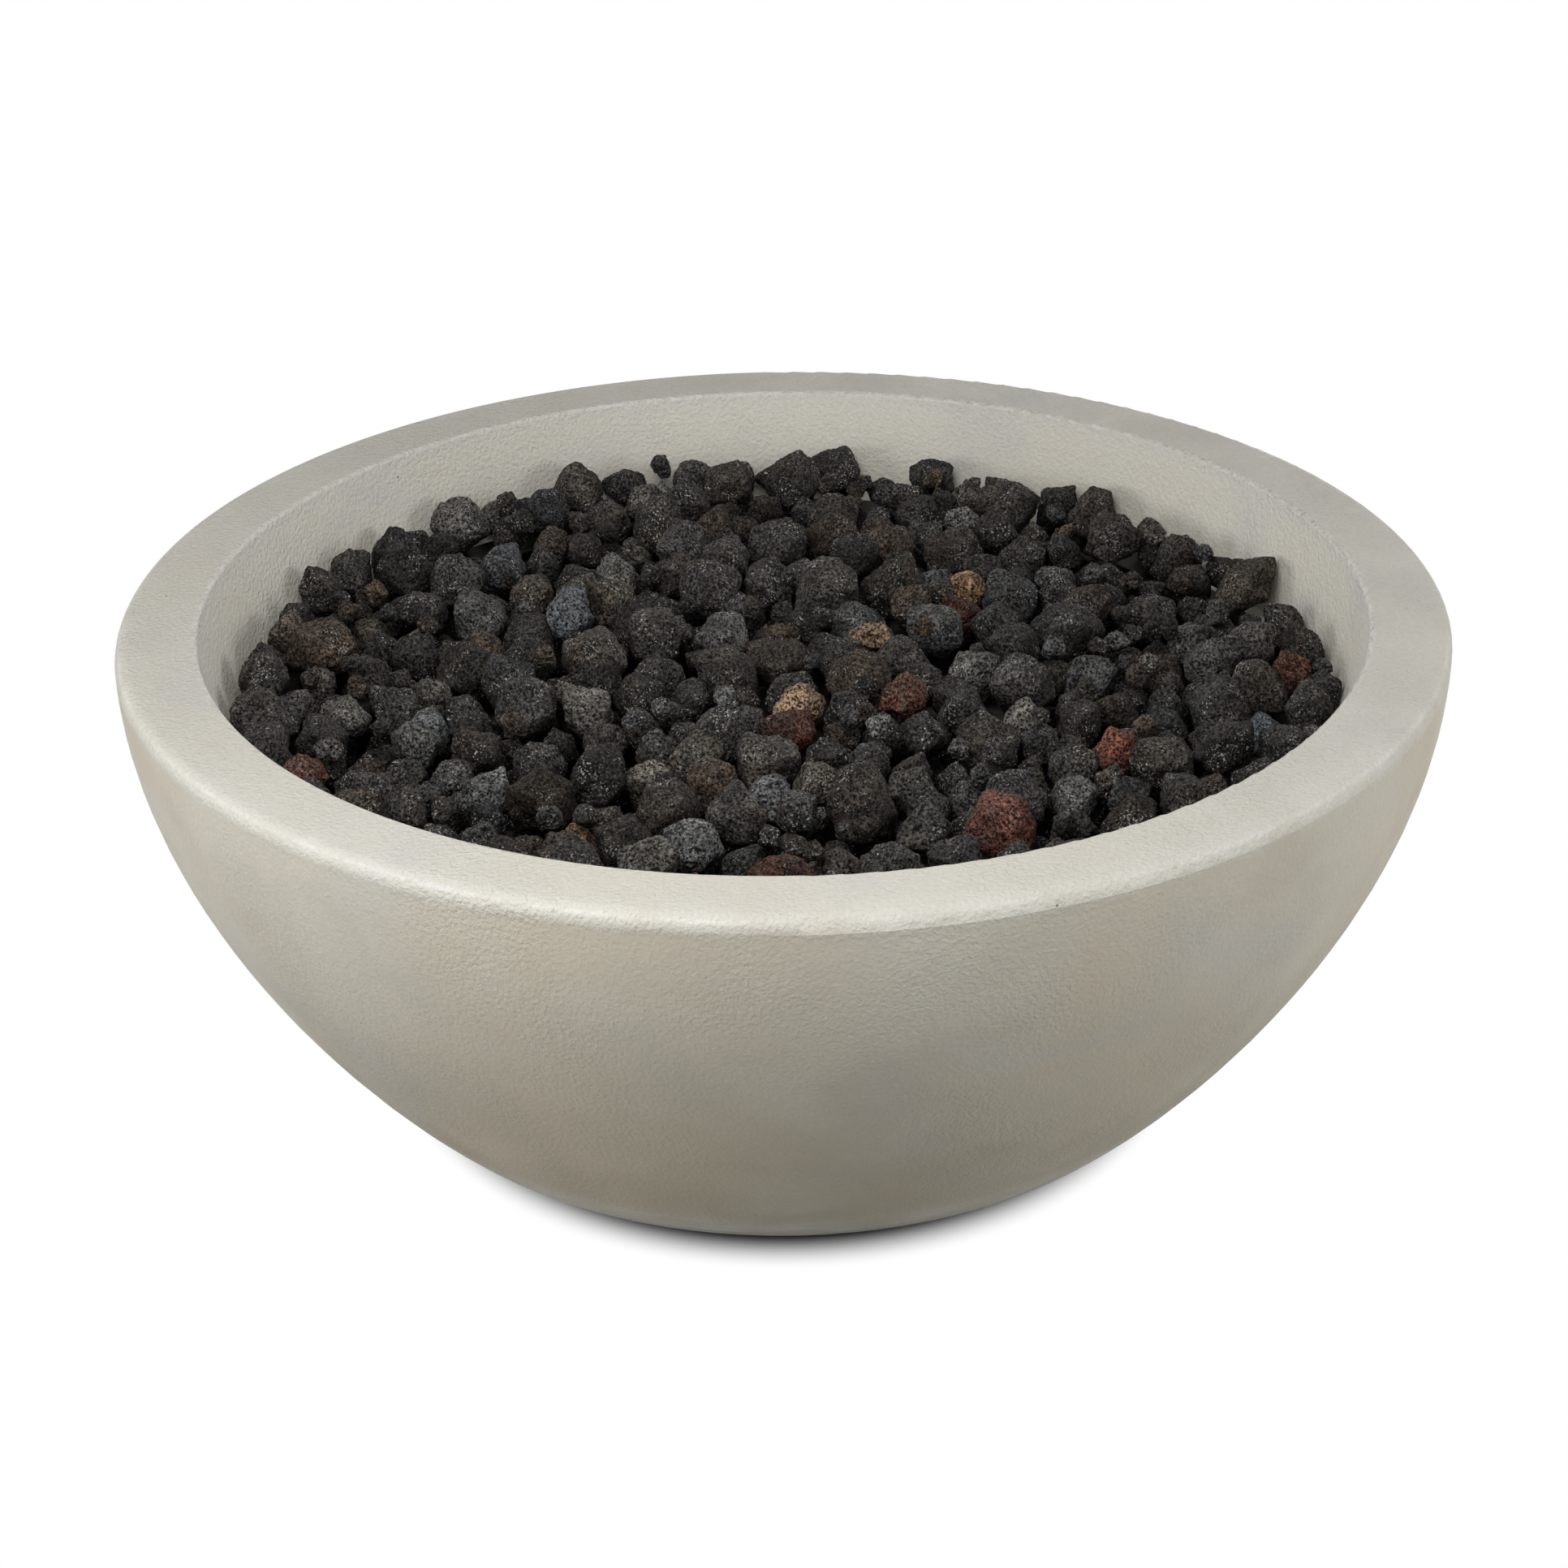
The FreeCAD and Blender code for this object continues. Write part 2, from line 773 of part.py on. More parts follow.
def flare_nuts():
    bore = hose_diameter / 2 + plate_hole_clearance
    at_elbow = nut(hose_nut_width, hose_nut_length, bore, V(0, elbow_reach, elbow_z), "y")
    start = V(0, valve_outlet_y - hose_nut_length, panel_height_z)
    return [at_elbow, nut(hose_nut_width, hose_nut_length, bore, start, "y")]


# Valve, spindle and knob
def gas_valve_body():
    block = Part.makeBox(
        valve_width, valve_length, valve_tall,
        V(-valve_width / 2, valve_back_y, panel_height_z - valve_tall / 2),
    )
    block = block.makeFillet(valve_edge_round, block.Edges)
    boss_r = valve_boss_diameter / 2
    block = block.fuse(cylinder_y(valve_neck_diameter / 2, valve_front_y - valve_boss_overlap, neck_end_y, 0, panel_height_z))
    block = block.fuse(cylinder_y(boss_r, valve_outlet_y, valve_back_y + valve_boss_overlap, 0, panel_height_z))
    inlet_y = valve_back_y + valve_inlet_back
    inlet_x = -valve_width / 2 - valve_inlet_length
    inlet_start = V(inlet_x, inlet_y, panel_height_z)
    inlet_boss = Part.makeCylinder(boss_r, valve_inlet_length + valve_boss_overlap, inlet_start, V(1, 0, 0))
    block = block.fuse(inlet_boss)
    spindle_r = spindle_diameter / 2 + running_clearance
    return block.cut(
        cylinder_y(spindle_r, valve_front_y - spindle_inside - 1, neck_end_y + 1, 0, panel_height_z)
    )


def valve_nut():
    bore = valve_neck_diameter / 2 + thread_clearance
    return nut(valve_nut_width, valve_nut_height, bore, V(0, panel_face_y, panel_height_z), "y")


def knob_bore_end():
    return knob_top_y + knob_grip_height - knob_grip_cap


def valve_spindle():
    r = spindle_diameter / 2
    start = valve_front_y - spindle_inside + knob_push_travel + 1
    shaft = cylinder_y(r, start, knob_bore_end(), 0, panel_height_z)
    flat = Part.makeBox(
        2 * r, knob_bore_end() - knob_web_y + 1, r,
        V(-r, knob_web_y, panel_height_z + r - spindle_flat),
    )
    return shaft.cut(flat)


def spindle_washer():
    inner = spindle_diameter / 2 + running_clearance
    outer = washer_diameter / 2
    back = washer_front_y - washer_thickness
    return turned_along_y(
        [(inner, back), (outer, back), (outer, washer_front_y), (inner, washer_front_y)], 0, panel_height_z
    )


def control_knob():
    r = knob_diameter / 2
    hollow = r - knob_skirt_wall
    hub_r = spindle_diameter / 2 + knob_hub_wall
    skirt = turned_along_y([
        (0, knob_hub_y), (hub_r, knob_hub_y), (hub_r, knob_web_y), (hollow, knob_web_y), (hollow, knob_back_y),
        (r, knob_back_y), (r - knob_taper, knob_top_y, knob_edge_round), (0, knob_top_y),
    ], 0, panel_height_z)
    grip = Part.makeBox(
        knob_grip_width, knob_grip_height + 2, 2 * (r - knob_grip_inset),
        V(-knob_grip_width / 2, knob_top_y - 2, panel_height_z - r + knob_grip_inset),
    )
    far = [e for e in grip.Edges if e.BoundBox.YMin > knob_top_y]
    grip = grip.makeFillet(knob_grip_round, far)
    pointer = Part.makeBox(
        knob_pointer_width, 2, r - knob_grip_inset - knob_pointer_inset,
        V(
            -knob_pointer_width / 2, knob_top_y + knob_grip_height - knob_pointer_depth,
            panel_height_z + knob_pointer_inset,
        ),
    )
    knob = skirt.fuse(grip).cut(pointer)
    bore_r = spindle_diameter / 2 + running_clearance
    socket = cylinder_y(bore_r, knob_hub_y - 1, knob_bore_end(), 0, panel_height_z)
    flat = Part.makeBox(
        4 * bore_r, knob_bore_end() - knob_web_y, bore_r,
        V(-2 * bore_r, knob_web_y, panel_height_z + spindle_diameter / 2 - spindle_flat + running_clearance),
    )
    return knob.cut(socket.cut(flat))


# Gas inlet
def gas_inlet_fitting():
    thread_r = inlet_thread_diameter / 2
    hex_end = panel_face_y + inlet_hex_height
    thread_end = hex_end + inlet_thread_length
    tip = thread_end + inlet_cone_length
    bore = inlet_bore / 2
    body = turned_along_y([
        (bore, inlet_tail_y), (thread_r, inlet_tail_y), (thread_r, thread_end),
        (inlet_cone_diameter / 2, tip), (bore, tip),
    ], -control_pitch, panel_height_z)
    collar = nut(inlet_hex_width, inlet_hex_height, bore, V(-control_pitch, panel_face_y, panel_height_z), "y")
    return body.fuse(collar)


def inlet_nut():
    bore = inlet_thread_diameter / 2 + thread_clearance
    start = V(-control_pitch, recess_seat_y - inlet_nut_height, panel_height_z)
    return nut(inlet_nut_width, inlet_nut_height, bore, start, "y")


# Quarter bend from the inlet fitting into the side of the valve
def inlet_pipe():
    port = V(-valve_width / 2 - valve_inlet_length, valve_back_y + valve_inlet_back, panel_height_z)
    bend = min(inlet_pipe_bend, control_pitch + port.x, inlet_tail_y - port.y)
    top = V(-control_pitch, port.y + bend, panel_height_z)
    corner = V(-control_pitch + bend, port.y, panel_height_z)
    centre = V(-control_pitch + bend, port.y + bend, panel_height_z)
    middle = centre + V(-math.sqrt(0.5), -math.sqrt(0.5), 0) * bend
    edges = []
    start = V(-control_pitch, inlet_tail_y, panel_height_z)
    if start.distanceToPoint(top) > 1e-6:
        edges.append(Part.LineSegment(start, top).toShape())
    edges.append(Part.Arc(top, middle, corner).toShape())
    if corner.distanceToPoint(port) > 1e-6:
        edges.append(Part.LineSegment(corner, port).toShape())
    path = Part.Wire(edges)
    shapes = []
    for radius in (inlet_pipe_diameter / 2, inlet_pipe_bore / 2):
        ring = Part.Wire(Part.Circle(start, V(0, 1, 0), radius).toShape())
        shapes.append(path.makePipeShell([ring], True, False))
    return shapes[0].cut(shapes[1])


# Piezo igniter
def igniter_body():
    flange_r = igniter_flange_diameter / 2
    barrel_r = igniter_barrel_diameter / 2
    tail_r = igniter_tail_diameter / 2
    pin_r = igniter_terminal_diameter / 2
    bore_r = igniter_button_diameter / 2 + running_clearance
    front = panel_face_y + igniter_flange_height
    bore_end = front - igniter_button_inside - igniter_travel - 1
    return turned_along_y([
        (0, lead_start_y), (pin_r, lead_start_y), (pin_r, igniter_end_y), (tail_r, igniter_end_y),
        (tail_r, igniter_rear_y), (barrel_r, igniter_rear_y), (barrel_r, panel_face_y), (flange_r, panel_face_y),
        (flange_r, front, igniter_flange_round), (bore_r, front), (bore_r, bore_end), (0, bore_end),
    ], control_pitch, panel_height_z)


def igniter_nut():
    bore = igniter_barrel_diameter / 2 + thread_clearance
    start = V(control_pitch, recess_seat_y - inlet_nut_height, panel_height_z)
    return nut(igniter_nut_width, inlet_nut_height, bore, start, "y")


def igniter_button():
    r = igniter_button_diameter / 2
    front = panel_face_y + igniter_flange_height
    return turned_along_y([
        (0, front - igniter_button_inside), (r, front - igniter_button_inside),
        (r, front + igniter_button_proud, igniter_button_round), (0, front + igniter_button_proud),
    ], control_pitch, panel_height_z)


def electrode_bottom():
    return V(electrode_x, pilot_y, pan_under_z - electrode_drop)


def thermocouple_bottom():
    return V(thermocouple_x, pilot_y, pan_under_z - thermocouple_drop)


# A lead that leaves along -Y, rises in an easy bend and arrives straight up
def rising_route(start, end):
    dx = end.x - start.x
    dy = end.y - start.y
    dz = end.z - start.z
    shares = ((0.20, 0.0, 0.0), (0.45, 0.10, 0.10), (0.72, 0.40, 0.32), (0.92, 0.78, 0.56), (1.0, 1.0, 0.80))
    points = [start]
    for along, sideways, up in shares:
        points.append(V(start.x + sideways * dx, start.y + along * dy, start.z + up * dz))
    points.append(end)
    return points


def igniter_lead():
    start = V(control_pitch, lead_start_y, panel_height_z)
    return tube_along(rising_route(start, electrode_bottom()), lead_diameter / 2)


def thermocouple_lead():
    start = V(-valve_width / 2 + lead_port_inset, valve_back_y, panel_height_z + lead_port_rise)
    return tube_along(rising_route(start, thermocouple_bottom()), thermocouple_lead_diameter / 2)


def spark_electrode():
    bottom = electrode_bottom()
    top = pan_floor_z + electrode_rise
    r = electrode_diameter / 2
    tip_r = electrode_tip_diameter / 2
    rod = turned([
        (0, bottom.z), (r, bottom.z), (r, top, 1.0), (tip_r, top), (tip_r, top + electrode_tip_length),
        (0, top + electrode_tip_length),
    ])
    rod.translate(V(bottom.x, bottom.y, 0))
    return rod


def thermocouple():
    bottom = thermocouple_bottom()
    top = pan_floor_z + thermocouple_rise
    r = thermocouple_diameter / 2
    rod = turned([(0, bottom.z), (r, bottom.z), (r, top, 1.5), (0, top)])
    rod.translate(V(bottom.x, bottom.y, 0))
    return rod


def pilot_bracket():
    half = bracket_width / 2
    sheet = bracket_sheet
    low = pan_floor_z
    high = pan_floor_z + bracket_rise
    tab = Part.makeBox(bracket_width, bracket_tab + sheet, sheet, V(-half, bracket_y - bracket_tab, low))
    riser = Part.makeBox(bracket_width, sheet, bracket_rise, V(-half, bracket_y, low))
    shelf = Part.makeBox(bracket_width, bracket_shelf + sheet, sheet, V(-half, bracket_y, high - sheet))
    cutters = []
    for x, diameter in ((electrode_x, electrode_diameter), (thermocouple_x, thermocouple_diameter)):
        cutters.append(cylinder_z(diameter / 2 + thread_clearance, high - sheet - 1, high + 1, x, pilot_y))
    for sign in (-1, 1):
        hole_r = bracket_screw_diameter / 2 + plate_hole_clearance
        x = sign * bracket_screw_pitch / 2
        cutters.append(cylinder_z(hole_r, low - 1, low + sheet + 1, x, bracket_y - bracket_tab / 2))
    return tab.fuse([riser, shelf]).removeSplitter().cut(cutters)


def bracket_screws():
    screws = []
    seat = pan_floor_z + bracket_sheet
    shank = bracket_screw_diameter / 2
    head = bracket_head_diameter / 2
    bottom = pan_under_z - bracket_screw_end
    for sign in (-1, 1):
        screw = turned([
            (0, bottom), (shank, bottom), (shank, seat), (head, seat), (head, seat + bracket_head_height, 1.0),
            (0, seat + bracket_head_height),
        ])
        screw.translate(V(sign * bracket_screw_pitch / 2, bracket_y - bracket_tab / 2, 0))
        screws.append(screw)
    return screws


# Heat shield
def heat_shield():
    top = pan_under_z - shield_drop
    plate = Part.makeBox(
        shield_width, shield_length, shield_sheet, V(-shield_width / 2, shield_front_y, top - shield_sheet)
    )
    lips = []
    for x in (-shield_width / 2, shield_width / 2 - shield_sheet):
        lips.append(Part.makeBox(shield_sheet, shield_length, shield_lip, V(x, shield_front_y, top - shield_lip)))
    return plate.fuse(lips).removeSplitter()


def shield_standoffs():
    top = pan_under_z - shield_drop
    x = shield_width / 2 - standoff_inset
    near = shield_front_y + standoff_inset
    far = shield_front_y + shield_length - standoff_inset
    places = [(sx * x, y) for sx in (-1, 1) for y in (near, far)]
    return [cylinder_z(standoff_diameter / 2, top, pan_under_z, px, py) for px, py in places]


# Control panel
def control_panel():
    panel = rounded_block_y(
        panel_width, panel_height, recess_seat_y, panel_face_y, 0, panel_height_z, panel_corner_round
    )
    low = recess_seat_y - 1
    high = panel_face_y + 1
    holes = [
        cylinder_y(valve_neck_diameter / 2 + plate_hole_clearance, low, high, 0, panel_height_z),
        cylinder_y(inlet_thread_diameter / 2 + plate_hole_clearance, low, high, -control_pitch, panel_height_z),
        cylinder_y(igniter_barrel_diameter / 2 + plate_hole_clearance, low, high, control_pitch, panel_height_z),
    ]
    for x, z in panel_screw_places():
        holes.append(cylinder_y(screw_diameter / 2 + screw_hole_clearance, low, high, x, z))
    return panel.cut(holes)


def panel_screws():
    return [screw_y(x, z, panel_face_y) for x, z in panel_screw_places()]


def panel_inserts():
    shapes = []
    for x, z in panel_screw_places():
        shape = insert(0.0)
        shape.rotate(ORIGIN, V(1, 0, 0), -90)
        shape.translate(V(x, recess_seat_y, z))
        shapes.append(shape)
    return shapes


# Lava stones
# Each stone starts as a ball. Flat planes halfway to its neighbours keep it clear of them, and its
# corners reach those planes where it touches a neighbour.

# Coloured stones that stand out, as (colour, x, y, ball radius)
marked_stones = [
    ("rust", 110, -202, 22), ("rust", -4, -258, 17), ("rust", 1, -87, 18), ("rust", 67, -47, 16),
    ("rust", 104, 77, 15), ("rust", 178, -109, 15), ("rust", -46, -266, 15), ("rust", -255, -131, 15),
    ("rust", 284, -11, 14),
    ("tan", 8, -53, 16), ("tan", 109, 114, 14), ("tan", -107, -187, 14), ("tan", 50, 36, 12),
    ("brown", 43, 255, 21), ("brown", -65, 138, 16), ("brown", -288, 56, 15), ("brown", -149, 107, 15),
    ("brown", -164, -100, 17), ("brown", -37, -152, 16), ("brown", 178, -196, 17), ("brown", -142, -221, 16),
    ("grey", -123, 141, 16), ("grey", -177, 67, 20), ("grey", 107, -11, 17), ("grey", -37, 50, 20),
    ("grey", 67, -141, 17), ("grey", -125, 71, 15), ("grey", 76, -262, 16), ("grey", 151, -160, 15),
    ("grey", -156, -146, 16), ("grey", -243, -52, 16), ("grey", -86, 253, 15), ("grey", 130, -68, 15),
    ("grey", -196, -64, 15), ("grey", -72, -118, 15),
]
colour_shares = (("charcoal", 0.72), ("brown", 0.15), ("grey", 0.13))


class Ball:
    def __init__(self, x, y, z, r, kind, fixed):
        self.x = x
        self.y = y
        self.z = z
        self.r = r
        self.kind = kind
        self.fixed = fixed
        self.long_axis = V(1, 0, 0)
        self.flatness = 0.0
        self.corners = []

    def place(self):
        return V(self.x, self.y, self.z)


def draw_radius(rng, sizes):
    value = rng.random()
    for share, least, most in sizes:
        if value < share:
            break
        value -= share
    return least + (most - least) * rng.random()


def draw_kind(rng):
    value = rng.random()
    for kind, share in colour_shares:
        if value < share:
            return kind
        value -= share
    return colour_shares[0][0]


# Pushes discs apart in plan until they lie beside each other
def spread_out(balls, limit, blocked, steps):
    for _ in range(steps):
        cell = 50.0
        grid = {}
        for ball in balls:
            key = (int(ball.x // cell), int(ball.y // cell))
            grid.setdefault(key, []).append(ball)
        for ball in balls:
            kx = int(ball.x // cell)
            ky = int(ball.y // cell)
            for gx in (kx - 1, kx, kx + 1):
                for gy in (ky - 1, ky, ky + 1):
                    for other in grid.get((gx, gy), ()):
                        if other is not ball:
                            push_apart(ball, other)
            if blocked is not None:
                blocked(ball)
            reach = math.hypot(ball.x, ball.y)
            room = limit - ball.r
            if reach > room:
                ball.x *= room / reach
                ball.y *= room / reach


def push_apart(ball, other):
    dx = ball.x - other.x
    dy = ball.y - other.y
    apart = math.hypot(dx, dy)
    overlap = ball.r + other.r - apart
    if overlap <= 0 or apart < 1e-6:
        return
    share = 0.0 if ball.fixed else (1.0 if other.fixed else 0.5)
    ball.x += dx / apart * overlap * share * 0.6
    ball.y += dy / apart * overlap * share * 0.6
    share = 0.0 if other.fixed else (1.0 if ball.fixed else 0.5)
    other.x -= dx / apart * overlap * share * 0.6
    other.y -= dy / apart * overlap * share * 0.6


def arm_nearest(x, y):
    best = None
    for i in range(arm_count):
        direction = arm_direction(i)
        along = max(0.0, min(arm_end + arm_cap_thickness, x * direction.x + y * direction.y))
        point = V(direction.x * along, direction.y * along, arm_z)
        gap = math.hypot(x - point.x, y - point.y)
        if best is None or gap < best[0]:
            best = (gap, point)
    return best[1]


# Keeps lower stones off the arms, the hub and the pilot group
def keep_off_burner(ball):
    for point, radius in ((arm_nearest(ball.x, ball.y), arm_diameter / 2), (ORIGIN, hub_radius),
                          (V(0, pilot_y, 0), bracket_width / 2 + 2)):
        dx = ball.x - point.x
        dy = ball.y - point.y
        apart = max(math.hypot(dx, dy), 1e-6)
        need = ball.r + radius
        if apart < need:
            ball.x = point.x + dx / apart * need
            ball.y = point.y + dy / apart * need


def scatter(rng, count_area, limit, sizes, kind):
    balls = []
    area = 0.0
    while area < count_area:
        r = draw_radius(rng, sizes)
        reach = (limit - r) * math.sqrt(rng.random())
        place = polar(reach, 360 * rng.random())
        name = kind if kind else draw_kind(rng)
        balls.append(Ball(place.x, place.y, 0.0, r, name, False))
        area += math.pi * r * r
    return balls


# Nearest point of a vertical cylinder, a box or a straight rod to a stone's middle
def nearest_on_cylinder(place, x, y, radius, low, high):
    flat = max(math.hypot(place.x - x, place.y - y), 1e-6)
    share = min(1.0, radius / flat)
    return V(x + (place.x - x) * share, y + (place.y - y) * share, max(low, min(high, place.z)))


def nearest_on_box(place, low, high):
    return V(
        max(low.x, min(high.x, place.x)), max(low.y, min(high.y, place.y)), max(low.z, min(high.z, place.z))
    )


def nearest_on_rod(place, start, end):
    line = end - start
    along = max(0.0, min(1.0, (place - start).dot(line) / line.dot(line)))
    return start + line * along


# What the stones lie against apart from each other, as (nearest point, radius round it)
def fixed_neighbours(place):
    near = []
    for i in range(arm_count):
        direction = arm_direction(i)
        start = V(0, 0, arm_z)
        end = start + direction * (arm_end + arm_cap_thickness)
        near.append((nearest_on_rod(place, start, end), arm_diameter / 2))
    near.append((nearest_on_cylinder(place, 0, 0, hub_radius, pan_floor_z, pan_floor_z + hub_height), 0.0))
    low = V(-bracket_width / 2, bracket_y - bracket_tab, pan_floor_z)
    high = V(bracket_width / 2, bracket_y + bracket_shelf + bracket_sheet, pan_floor_z + bracket_rise)
    near.append((nearest_on_box(place, low, high), 0.0))
    rods = (
        (electrode_x, electrode_rise + electrode_tip_length, electrode_diameter),
        (thermocouple_x, thermocouple_rise, thermocouple_diameter),
    )
    for x, rise, diameter in rods:
        start = V(x, pilot_y, pan_floor_z)
        near.append((nearest_on_rod(place, start, V(x, pilot_y, pan_floor_z + rise)), diameter / 2))
    for screw in pan_screw_places():
        top = flange_z + screw_head_height
        near.append((nearest_on_cylinder(place, screw.x, screw.y, screw_head_diameter / 2, ledge_z, top), 0.0))
    return near


def lower_layer(rng):
    limit = pan_radius - pan_sheet - bed_wall_margin
    arms_area = arm_count * arm_length * arm_diameter
    area = (math.pi * limit * limit - arms_area) * lower_stone_cover
    balls = scatter(rng, area, limit, lower_stone_sizes, "lower")
    spread_out(balls, limit, keep_off_burner, 160)
    for ball in balls:
        ball.z = pan_floor_z + ball.r
    return [ball for ball in balls if clear_of_burner(ball)]


def clear_of_burner(ball):
    for point, radius in fixed_neighbours(ball.place()):
        if ball.place().distanceToPoint(point) < radius + least_stone_room * ball.r:
            return False
    return True


def wall_radius(z):
    return well_radius - (rim_z - z) * well_slope


def top_layer(rng, lower):
    limit = wall_radius(flange_z + top_stone_middle) - bed_wall_margin
    area = math.pi * limit * limit * top_stone_cover
    marked = [Ball(x, y, 0.0, r, kind, True) for kind, x, y, r in marked_stones]
    for ball in marked:
        area -= math.pi * ball.r * ball.r
    balls = marked + scatter(rng, area, limit, top_stone_sizes, None)
    spread_out(balls, limit, None, 220)
    for ball in balls:
        drop(ball, lower)
        ball.z = min(ball.z, bed_peak_z - bed_peak_spread * rng.random() - ball.r)
    return balls


# Small stones in the deepest hollows of the bed
def chips(rng, below):
    found = []
    for _ in range(chip_count):
        best = None
        for _ in range(chip_tries):
            r = draw_radius(rng, chip_sizes)
            reach = (wall_radius(bed_peak_z) - 2 * r) * math.sqrt(rng.random())
            place = polar(reach, 360 * rng.random())
            ball = Ball(place.x, place.y, 0.0, r, "charcoal", False)
            drop(ball, below + found)
            if best is None or ball.z + ball.r < best.z + best.r:
                best = ball
        if best.z + best.r < bed_peak_z:
            best.kind = draw_kind(rng)
            found.append(best)
    return found


# Lowers a ball until it rests on a lower stone, an arm, the hub, the pilot group or the pan's flange
def drop(ball, lower):
    ball.z = pan_floor_z + ball.r
    if math.hypot(ball.x, ball.y) + 0.5 * ball.r > pan_radius - pan_sheet:
        ball.z = flange_z + ball.r
    rests = [(other.place(), other.r) for other in lower]
    rests.append((arm_nearest(ball.x, ball.y), arm_diameter / 2))
    rests.append((V(0, 0, pan_floor_z + hub_height - hub_radius), hub_radius))
    rests.append((V(0, pilot_y, pan_floor_z + bracket_rise), electrode_rise + electrode_tip_length - bracket_rise))
    for point, radius in rests:
        flat = math.hypot(ball.x - point.x, ball.y - point.y)
        both = ball.r + radius
        if flat < both:
            ball.z = max(ball.z, point.z + math.sqrt(both * both - flat * flat))


# Planes around a stone, each as a unit direction and how far the stone may reach along it
def add_pair(planes, ball, other):
    line = other.place() - ball.place()
    apart = line.Length
    line.normalize()
    own = (apart * apart + ball.r * ball.r - other.r * other.r) / (2 * apart)
    planes.setdefault(id(ball), []).append((line, own - seat_gap / 2, other))
    planes.setdefault(id(other), []).append((line * -1, apart - own - seat_gap / 2, ball))


# How far a corner in this direction may stand from the middle, longest along the stone's own axis
def own_reach(ball, direction):
    along = direction.dot(ball.long_axis) ** 2
    return ball.r * (stone_short_stretch + (stone_stretch - stone_short_stretch) * along)


# The wall beside a stone: the pan's below the flange, the bowl's above it
def side_limit(z):
    return pan_radius - pan_sheet if z < flange_z else wall_radius(z)


# The flange's inner edge, eased for its curve
def add_fixed(planes, ball):
    own = planes[id(ball)]
    for point, radius in fixed_neighbours(ball.place()):
        line = point - ball.place()
        apart = line.Length
        if radius + 1e-6 < apart < radius + ball.r * stone_stretch + 1:
            line.normalize()
            own.append((line, apart - radius - seat_gap, None))
    if ball.kind != "lower" and math.hypot(ball.x, ball.y) < flange_start:
        point = ring_point(ball, pan_radius - pan_sheet, flange_z)
        line = point - ball.place()
        apart = line.Length
        line.normalize()
        own.append((line, apart - flange_edge_margin, None))


def ring_point(ball, radius, z):
    reach = max(math.hypot(ball.x, ball.y), 1e-6)
    return V(ball.x / reach * radius, ball.y / reach * radius, z)


# How far a stone may reach from its middle along a direction
def free_reach(ball, direction, planes, low_z):
    reach = own_reach(ball, direction)
    for normal, limit, _ in planes:
        lean = direction.dot(normal)
        if lean > 1e-6:
            reach = min(reach, limit / lean)
    if direction.z < -1e-6:
        reach = min(reach, (ball.z - low_z) / -direction.z)
    for _ in range(40):
        tip = ball.place() + direction * reach
        if math.hypot(tip.x, tip.y) < side_limit(tip.z) - bed_wall_margin:
            break
        reach *= 0.96
    return max(reach, 0.25 * ball.r)


def stone_directions(rng, ball):
    chosen = list(ball.corners)
    tries = 0
    apart = 0.95
    corners = top_stone_corners
    if ball.kind == "lower":
        corners = lower_stone_corners
    elif ball.r < chip_radius:
        corners = chip_corners
    while len(chosen) < corners:
        z = 2 * rng.random() - 1
        turn = 2 * math.pi * rng.random()
        flat = math.sqrt(1 - z * z)
        direction = V(flat * math.cos(turn), flat * math.sin(turn), z)
        if all(direction.getAngle(other) > apart for other in chosen):
            chosen.append(direction)
        tries += 1
        if tries % 60 == 0:
            apart *= 0.93
    return chosen


# Convex solid through a few corners, as triangles
def hull_solid(points):
    faces = []
    count = len(points)
    for i in range(count):
        for j in range(i + 1, count):
            for k in range(j + 1, count):
                normal = (points[j] - points[i]).cross(points[k] - points[i])
                sides = [normal.dot(p - points[i]) for n, p in enumerate(points) if n not in (i, j, k)]
                if all(side < 0 for side in sides):
                    faces.append((i, j, k))
                elif all(side > 0 for side in sides):
                    faces.append((i, k, j))
    triangles = [Part.Face(Part.makePolygon([points[a], points[b], points[c], points[a]])) for a, b, c in faces]
    return Part.Solid(Part.makeShell(triangles))


def lowest_reach(ball):
    outside = ball.kind != "lower" and math.hypot(ball.x, ball.y) >= flange_start
    return (flange_z if outside else pan_floor_z) + seat_gap


def has_room(ball, direction):
    return all(direction.getAngle(corner) > corner_spacing for corner in ball.corners)


# Corners where a stone rests, the most downward first, each met by a corner of the stone it rests on
def seat_stone(ball, planes):
    low_z = lowest_reach(ball)
    down = V(0, 0, -1)
    own = planes[id(ball)]
    if has_room(ball, down) and free_reach(ball, down, own, low_z) > ball.z - low_z - contact_slack:
        ball.corners.append(down)
    choices = []
    for normal, limit, other in own:
        if free_reach(ball, normal, own, low_z) < limit - contact_slack:
            continue
        if other is not None:
            mate = [entry for entry in planes[id(other)] if entry[2] is ball][0]
            if free_reach(other, mate[0], planes[id(other)], lowest_reach(other)) < mate[1] - contact_slack:
                continue
        choices.append((normal.z, len(choices), normal, other))
    choices.sort()
    for _, _, normal, other in choices:
        if len(ball.corners) >= seats_per_stone:
            break
        back = normal * -1
        if has_room(ball, normal) and (other is None or has_room(other, back)):
            ball.corners.append(normal)
            if other is not None:
                other.corners.append(back)


